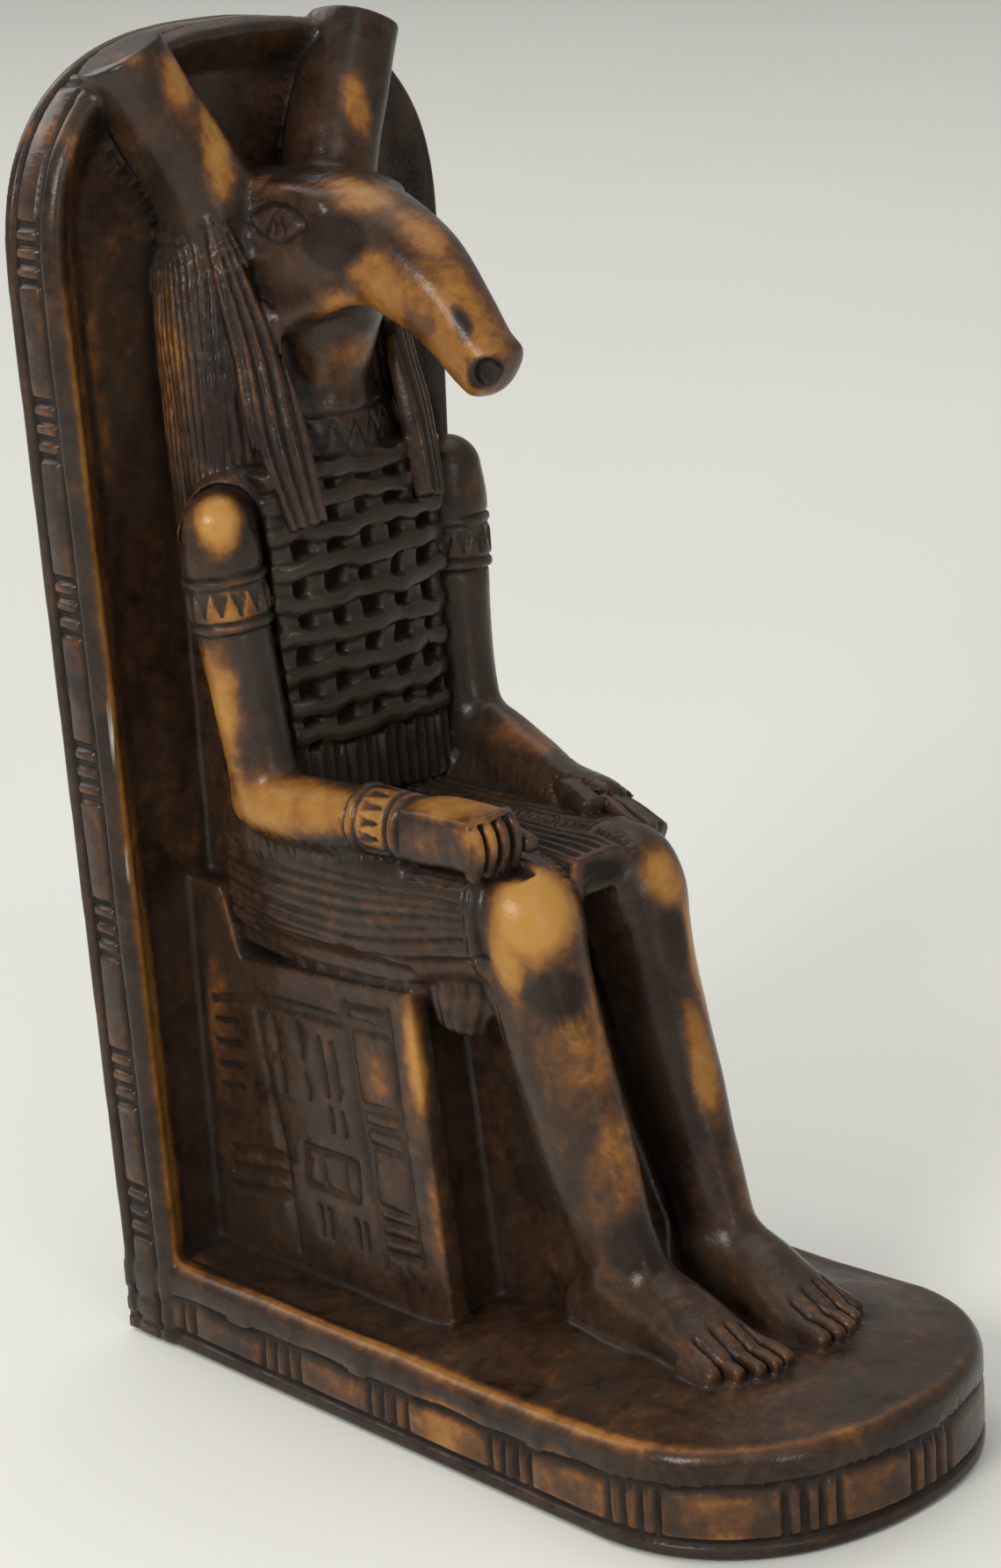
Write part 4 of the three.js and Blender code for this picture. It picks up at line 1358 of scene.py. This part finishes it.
@dataclass
class Web(Part):
    """The stone between the throne and the backs of both legs."""

    half: float = 9.0
    top: float = 84.0
    front_y: float = -3.0
    lean: float = 0.33
    knee_z: float = 80.0
    slant: float = 0.95

    def sculpt(self, clay: Clay) -> None:
        """Adds the web to the block."""
        slices, (x, y, z) = clay.window((-24, -32, 12), (24, 20, 84))
        front = (self.front_y - self.lean * (self.knee_z - z) - y) * self.slant
        side = np.abs(x) - self.half
        made = soft_max(soft_max(front, side, 1.5), np.maximum(z - self.top, y - 16.0), 1.0)
        clay.field_mm[slices] = soft_min(clay.field_mm[slices], made.astype(np.float32), 2.4)


@dataclass
class Nodes:
    """Short ways to add the nodes that the finish is made of."""

    tree: bpy.types.NodeTree
    place: Socket

    def noise(self, scale: float, detail: float, distortion: float = 0.0) -> Socket:
        """A noise pattern of that scale, in waves for each metre."""
        node = self.tree.nodes.new("ShaderNodeTexNoise")
        values = {"Scale": scale, "Detail": detail, "Roughness": 0.6, "Distortion": distortion}
        for name, value in values.items():
            node.inputs[name].default_value = value
        self.tree.links.new(self.place, node.inputs["Vector"])
        return node.outputs["Fac"]

    def math(self, operation: str, first: Socket | float, second: Socket | float) -> Socket:
        """One sum on two values or sockets."""
        node = self.tree.nodes.new("ShaderNodeMath")
        node.operation = operation
        for socket, value in zip(node.inputs, (first, second)):
            self.feed(socket, value)
        return node.outputs[0]

    def kept(self, name: str) -> Socket:
        """A value that is kept on the mesh."""
        node = self.tree.nodes.new("ShaderNodeAttribute")
        node.attribute_name = name
        return node.outputs["Fac"]

    def ramp(self, value: Socket, *stops: tuple[float, Sequence[float]]) -> Socket:
        """Colours along a value, from stops of a place and a colour."""
        node = self.tree.nodes.new("ShaderNodeValToRGB")
        while len(node.color_ramp.elements) < len(stops):
            node.color_ramp.elements.new(0.5)
        for element, (place, colour) in zip(node.color_ramp.elements, stops):
            element.position = place
            element.color = (*colour, 1.0)
        self.tree.links.new(value, node.inputs["Fac"])
        return node.outputs["Color"]

    def mix(self, share: Socket, first: Socket, second: Sequence[float]) -> Socket:
        """Mixes a plain colour into another by a share."""
        node = self.tree.nodes.new("ShaderNodeMix")
        node.data_type = "RGBA"
        self.tree.links.new(share, node.inputs["Factor"])
        colour_sockets = [socket for socket in node.inputs if socket.type == "RGBA"]
        for socket, value in zip(colour_sockets, (first, (*second, 1.0))):
            self.feed(socket, value)
        return next(out for out in node.outputs if out.type == "RGBA")

    def feed(self, socket: Socket, value: Socket | float | Sequence[float]) -> None:
        """Links another socket to this one, or sets a plain value on it."""
        if isinstance(value, Socket):
            self.tree.links.new(value, socket)
        else:
            socket.default_value = value


@dataclass(frozen=True)
class WaxedCasting:
    """Dark wax over a honey-coloured casting, rubbed through on the high places."""

    name: str = "dark_wax_cast"
    wax: Point = (0.0165, 0.0088, 0.0054)
    brown: Point = (0.050, 0.0250, 0.0130)
    russet: Point = (0.125, 0.050, 0.0165)
    amber: Point = (0.235, 0.098, 0.021)
    honey: Point = (0.430, 0.215, 0.050)
    # Grey bloom of the wax, which also stands for a painted sheen.
    bloom_and_sheen: Point = (0.036, 0.0275, 0.0200)
    chip: Point = (0.62, 0.58, 0.50)
    roughness: tuple[float, float] = (0.17, 0.36)
    hollow_roughness: float = 0.55
    shine: float = 0.26
    edge_wear: float = 0.16
    bump_height: float = 0.0004
    bump_strength: float = 0.35

    def make(self) -> bpy.types.Material:
        """Builds the node material.

        Returns:
            The material, ready to be put on the casting.
        """
        material = bpy.data.materials.new(self.name)
        material.use_nodes = True
        tree = material.node_tree
        shader = tree.nodes["Principled BSDF"]
        shader.inputs["Specular IOR Level"].default_value = self.shine
        nodes = Nodes(tree, tree.nodes.new("ShaderNodeTexCoord").outputs["Object"])
        tree.links.new(self._colours(nodes), shader.inputs["Base Color"])
        tree.links.new(self._roughness(nodes), shader.inputs["Roughness"])
        tree.links.new(self._bump(nodes), shader.inputs["Normal"])
        return material

    def _worn(self, nodes: Nodes) -> Socket:
        """How far the wax is worn through, broken up by patches, flecks and speckles."""
        edge = nodes.math("MULTIPLY", nodes.kept("edge"), self.edge_wear)
        worn = nodes.math("ADD", nodes.kept("rubbed"), edge)
        for pattern, weight in (
            (nodes.noise(70.0, 6.0, 0.8), 0.62),
            (nodes.noise(200.0, 6.0, 0.6), 0.55),
            (nodes.noise(480.0, 4.0), 0.34),
        ):
            around_zero = nodes.math("SUBTRACT", pattern, 0.5)
            worn = nodes.math("ADD", worn, nodes.math("MULTIPLY", around_zero, weight))
        return worn

    def _colours(self, nodes: Nodes) -> Socket:
        """The colour from dark wax to rubbed honey, with a grey wax bloom that is partly a painted sheen,
        and hollows darkened by thick wax and painted shade.
        """
        worn = self._worn(nodes)
        colour = nodes.ramp(
            worn, (0.0, self.wax), (0.23, self.brown), (0.44, self.russet), (0.57, self.amber),
            (1.0, self.honey),
        )
        unworn = nodes.ramp(worn, (0.15, (1.0,) * 3), (0.42, (0.0,) * 3))
        # Patches of grey wax bloom on the unworn wax, partly a painted sheen.
        bloom_sheen_patches = nodes.ramp(nodes.noise(34.0, 6.0, 0.5), (0.42, (0.0,) * 3), (0.68, (0.75,) * 3))
        colour = nodes.mix(nodes.math("MULTIPLY", unworn, bloom_sheen_patches), colour, self.bloom_and_sheen)
        # Painted shade: creases and hollows are darkened below the wax colour, together with the thick
        # dark wax that lies there.
        colour = nodes.mix(nodes.kept("hollow"), colour, [0.5 * value for value in self.wax])
        return nodes.mix(nodes.kept("chip"), colour, self.chip)

    def _roughness(self, nodes: Nodes) -> Socket:
        """Wax that is smoother in some patches than in others, and matt where dirt lies in hollows."""
        low, high = self.roughness
        wax = nodes.ramp(nodes.noise(130.0, 4.0), (0.3, (low,) * 3), (0.7, (high,) * 3))
        dirt = nodes.math("MULTIPLY", nodes.kept("hollow"), self.hollow_roughness)
        return nodes.math("ADD", wax, dirt)

    def _bump(self, nodes: Nodes) -> Socket:
        """The fine grain of the casting and its wax."""
        fine = nodes.math("MULTIPLY", nodes.noise(1500.0, 3.0), 0.35)
        height = nodes.math("ADD", nodes.noise(260.0, 4.0), fine)
        node = nodes.tree.nodes.new("ShaderNodeBump")
        node.inputs["Strength"].default_value = self.bump_strength
        node.inputs["Distance"].default_value = self.bump_height
        nodes.tree.links.new(height, node.inputs["Height"])
        return node.outputs["Normal"]


@dataclass
class Casting:
    """The whole statue: all parts in one block, made into one closed mesh."""

    parts: list[Part]
    fineness: Fineness
    name: str = "seth_casting"
    finish: WaxedCasting = WaxedCasting()
    low: Point = (-49.0, -86.0, -2.5)
    high: Point = (49.0, 86.0, 252.5)
    fine_blur: float = 2.2
    broad_blur: float = 7.0

    def sculpt(self) -> Clay:
        """Builds all parts up in the block, with a faint waviness away from the back and the floor."""
        clay = Clay(self.fineness.value[0], self.low, self.high)
        for part in self.parts:
            part.sculpt(clay)
            log.info("sculpted %s", type(part).__name__)
        x, y, z = (axis.reshape(shape) for axis, shape in zip(
            clay.axes, ((-1, 1, 1), (1, -1, 1), (1, 1, -1))))
        inside = step(z, 1.0, 4.0) * step(y, BACK_Y - 1.0, BACK_Y - 4.0)
        wobble = 0.16 * np.sin(0.21 * x + 1.0) * np.sin(0.17 * y) * np.sin(0.13 * z)
        wobble = wobble + 0.12 * np.sin(0.43 * x) * np.sin(0.37 * y + 2.0) * np.sin(0.31 * z + 1.0)
        clay.field_mm += (wobble * inside).astype(np.float32)
        clay.field_mm = np.maximum(clay.field_mm, np.maximum(-z, y - BACK_Y).astype(np.float32))
        return clay

    def build(self) -> bpy.types.Object:
        """Makes the mesh, with its finish and the values that the finish reads.

        Returns:
            The casting, in metres in the row's frame.
        """
        clay = self.sculpt()
        points, quads = clay.surface()
        log.info("surface of %d faces", len(quads))
        raw = self._object("seth_raw", points * MM, quads)
        piece = self._reduced(raw, self.fineness.value[1])
        self._drop_crumbs(piece.data)
        self._keep_values(piece, clay)
        piece.data.materials.append(self.finish.make())
        piece.data.shade_smooth()
        return piece

    def _object(self, name: str, points: Array, quads: Array) -> bpy.types.Object:
        """A mesh object from points and four-cornered faces."""
        mesh = bpy.data.meshes.new(name)
        mesh.vertices.add(len(points))
        mesh.vertices.foreach_set("co", points.astype(np.float32).ravel())
        mesh.loops.add(4 * len(quads))
        mesh.loops.foreach_set("vertex_index", quads[:, ::-1].astype(np.int32).ravel())
        mesh.polygons.add(len(quads))
        mesh.polygons.foreach_set("loop_start", np.arange(0, 4 * len(quads), 4, dtype=np.int32))
        mesh.update(calc_edges=True)
        made = bpy.data.objects.new(name, mesh)
        bpy.context.scene.collection.objects.link(made)
        return made

    def _reduced(self, raw: bpy.types.Object, faces: int) -> bpy.types.Object:
        """A copy of the raw surface with about that many three-cornered faces."""
        thin = raw.modifiers.new("thin", "DECIMATE")
        thin.ratio = min(1.0, faces / (2.0 * len(raw.data.polygons)))
        graph = bpy.context.evaluated_depsgraph_get()
        mesh = bpy.data.meshes.new_from_object(raw.evaluated_get(graph))
        made = bpy.data.objects.new(self.name, mesh)
        mesh.name = self.name
        bpy.context.scene.collection.objects.link(made)
        old = raw.data
        bpy.data.objects.remove(raw)
        bpy.data.meshes.remove(old)
        return made

    def _drop_crumbs(self, mesh: bpy.types.Mesh) -> None:
        """Takes away every shell but the largest: crumbs beside it and bubbles inside it."""
        edges = np.empty(2 * len(mesh.edges), np.int32)
        mesh.edges.foreach_get("vertices", edges)
        shell = np.arange(len(mesh.vertices))
        while True:
            ends = shell[edges].reshape(-1, 2)
            if np.array_equal(ends[:, 0], ends[:, 1]):
                break
            np.minimum.at(shell, ends.ravel(), np.repeat(ends.min(axis=1), 2))
            shell = shell[shell]
        stray = np.nonzero(shell != np.bincount(shell).argmax())[0]
        made = bmesh.new()
        made.from_mesh(mesh)
        made.verts.ensure_lookup_table()
        bmesh.ops.delete(made, geom=[made.verts[i] for i in stray], context="VERTS")
        made.to_mesh(mesh)
        made.free()
        log.info("dropped %d stray points", len(stray))

    def _keep_values(self, piece: bpy.types.Object, clay: Clay) -> None:
        """Keeps the rubbed, edge, hollow and chip values on the mesh."""
        mesh = piece.data
        points = np.empty(len(mesh.vertices) * 3, np.float32)
        mesh.vertices.foreach_get("co", points)
        points = points.reshape(-1, 3).astype(float) / MM
        fine = clay.sample(clay.blurred(self.fine_blur), points)
        broad = clay.sample(clay.blurred(self.broad_blur), points)
        rubbed, stained, chipped, dark_wax_and_shade = np.zeros((4, len(points)))
        for part in self.parts:
            rubbed = np.maximum(rubbed, part.polish(points))
            stained = np.maximum(stained, most_of(part.stains(), points))
            chipped = np.maximum(chipped, most_of(part.chips(), points))
            dark_wax_and_shade = np.maximum(dark_wax_and_shade, part.wax_and_shade(points))
        outside = step(points[:, 1], BACK_Y - 0.3, BACK_Y - 2.0) * step(points[:, 2], 0.3, 2.0)
        open_to_hands = step(fine, -0.16, 0.02) * outside
        values = {
            "rubbed": rubbed * (0.25 * outside + 0.75 * open_to_hands) - stained,
            "edge": step(fine, 0.08, 0.40) * outside,
            # hollow: thick dark wax in creases and hollows, with painted shade there, and the darkened
            # holes of the weave.
            "hollow": np.maximum(0.85 * step(-fine, 0.06, 0.34) + 0.45 * step(-broad, 0.3, 1.6), dark_wax_and_shade),
            "chip": step(chipped, 0.45, 0.6),
        }
        for name, value in values.items():
            layer = mesh.attributes.new(name, "FLOAT", "POINT")
            layer.data.foreach_set("value", np.clip(value, -1.0, 1.3).astype(np.float32))


@dataclass(frozen=True)
class Photo:
    """How the reference was taken: its height and focal length in pixels, the camera in mm."""

    high: int = 1785
    focal: float = 4200.0
    place: Point = (-424.3, -466.1, 304.8)
    right: Point = (0.7333, -0.6771, -0.0625)
    up: Point = (0.2388, 0.1705, 0.9560)
    back: Point = (-0.6366, -0.7159, 0.2867)
    sensor: float = 24.0

    def camera(self) -> bpy.types.Object:
        """Makes the scene's camera."""
        data = bpy.data.cameras.new("photo_camera")
        data.sensor_fit = "VERTICAL"
        data.sensor_height = self.sensor
        data.sensor_width = self.sensor
        data.lens = self.focal / self.high * self.sensor
        data.clip_start = 0.01
        data.clip_end = 50.0
        camera = bpy.data.objects.new("photo_camera", data)
        columns = [Vector(axis).normalized() for axis in (self.right, self.up, self.back)]
        turn = Matrix(columns).transposed().to_4x4()
        camera.matrix_world = Matrix.Translation(Vector(self.place) * MM) @ turn
        bpy.context.scene.collection.objects.link(camera)
        bpy.context.scene.camera = camera
        return camera


@dataclass(frozen=True)
class Lamp:
    """A round area light: its place, its width in metres, its power in watts and its colour."""

    name: str
    place: Point
    size: float
    power: float
    colour: Point

    def light(self, aim: Vector) -> None:
        """Makes the light, turned to the aim."""
        data = bpy.data.lights.new(self.name, "AREA")
        data.shape = "DISK"
        data.size = self.size
        data.energy = self.power
        data.color = self.colour
        made = bpy.data.objects.new(self.name, data)
        made.location = self.place
        made.rotation_euler = (aim - Vector(self.place)).to_track_quat("-Z", "Y").to_euler()
        bpy.context.scene.collection.objects.link(made)


@dataclass
class Studio:
    """A wide pale floor, pale air and soft light from the left, above, the front and behind."""

    floor_colour: Point = (0.80, 0.80, 0.76)
    reach: float = 9.0
    drop: float = 0.0006
    aim: Point = (0.0, 0.0, 0.12)
    air_colour: Point = (1.0, 0.985, 0.95)
    air_strength: float = 0.40
    lamps: tuple[Lamp, ...] = (
        Lamp("key_light", (-1.00, -0.22, 0.66), 0.40, 6.6, (1.0, 0.985, 0.95)),
        Lamp("top_light", (0.35, 0.55, 2.20), 2.4, 15.0, (1.0, 0.995, 0.98)),
        Lamp("fill_light", (-0.55, -1.05, 1.15), 0.9, 2.4, (0.97, 0.98, 1.0)),
        Lamp("front_light", (-0.35, -1.25, 0.42), 0.26, 1.6, (0.97, 0.99, 1.0)),
        Lamp("floor_light", (-0.60, 3.40, 2.60), 3.0, 58.0, (1.0, 0.995, 0.98)),
    )

    def build(self) -> None:
        """Makes floor, air and lights."""
        far, low = self.reach, -self.drop
        corners = [(-far, -far, low), (far, -far, low), (far, far, low), (-far, far, low)]
        self._sheet("studio_floor", corners, self.floor_colour)
        for lamp in self.lamps:
            lamp.light(Vector(self.aim))
        world = bpy.data.worlds.new("studio_air")
        world.use_nodes = True
        background = world.node_tree.nodes["Background"]
        background.inputs["Color"].default_value = (*self.air_colour, 1.0)
        background.inputs["Strength"].default_value = self.air_strength
        bpy.context.scene.world = world
        bpy.context.scene.view_settings.view_transform = "Standard"

    def _sheet(self, name: str, corners: Sequence[Point], colour: Point) -> bpy.types.Object:
        """A flat sheet with a plain, faintly mottled paint."""
        mesh = bpy.data.meshes.new(name)
        mesh.from_pydata(corners, [], [(0, 1, 2, 3)])
        made = bpy.data.objects.new(name, mesh)
        bpy.context.scene.collection.objects.link(made)
        material = bpy.data.materials.new(name)
        material.use_nodes = True
        tree = material.node_tree
        shader = tree.nodes["Principled BSDF"]
        shader.inputs["Roughness"].default_value = 0.8
        noise = tree.nodes.new("ShaderNodeTexNoise")
        noise.inputs["Scale"].default_value = 3.0
        ramp = tree.nodes.new("ShaderNodeValToRGB")
        ramp.color_ramp.elements[0].color = (*[0.94 * value for value in colour], 1.0)
        ramp.color_ramp.elements[1].color = (*colour, 1.0)
        tree.links.new(tree.nodes.new("ShaderNodeTexCoord").outputs["Object"], noise.inputs["Vector"])
        tree.links.new(noise.outputs["Fac"], ramp.inputs["Fac"])
        tree.links.new(ramp.outputs["Color"], shader.inputs["Base Color"])
        mesh.materials.append(material)
        return made


def main() -> None:
    """Builds the camera, the studio and the statue, in that order."""
    logging.basicConfig(level=logging.INFO, format="%(name)s: %(message)s")
    Photo().camera()
    Studio().build()
    parts: list[Part] = [
        BackSlab(), BasePlate(), Throne(), Web(), Trunk(), Collar(), HeadCloth(), Head(), Ears(),
        Corselet(), Kilt(), Leg(-1), Leg(1), Arm(-1), Arm(1), Fist(), OpenHand(),
    ]
    fineness = Fineness.FINAL
    statue = Casting(parts, fineness).build()
    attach(statue, "root")
    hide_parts(NODE)
    log.info("%s has %d faces", statue.name, len(statue.data.polygons))


if __name__ == "__main__":
    main()
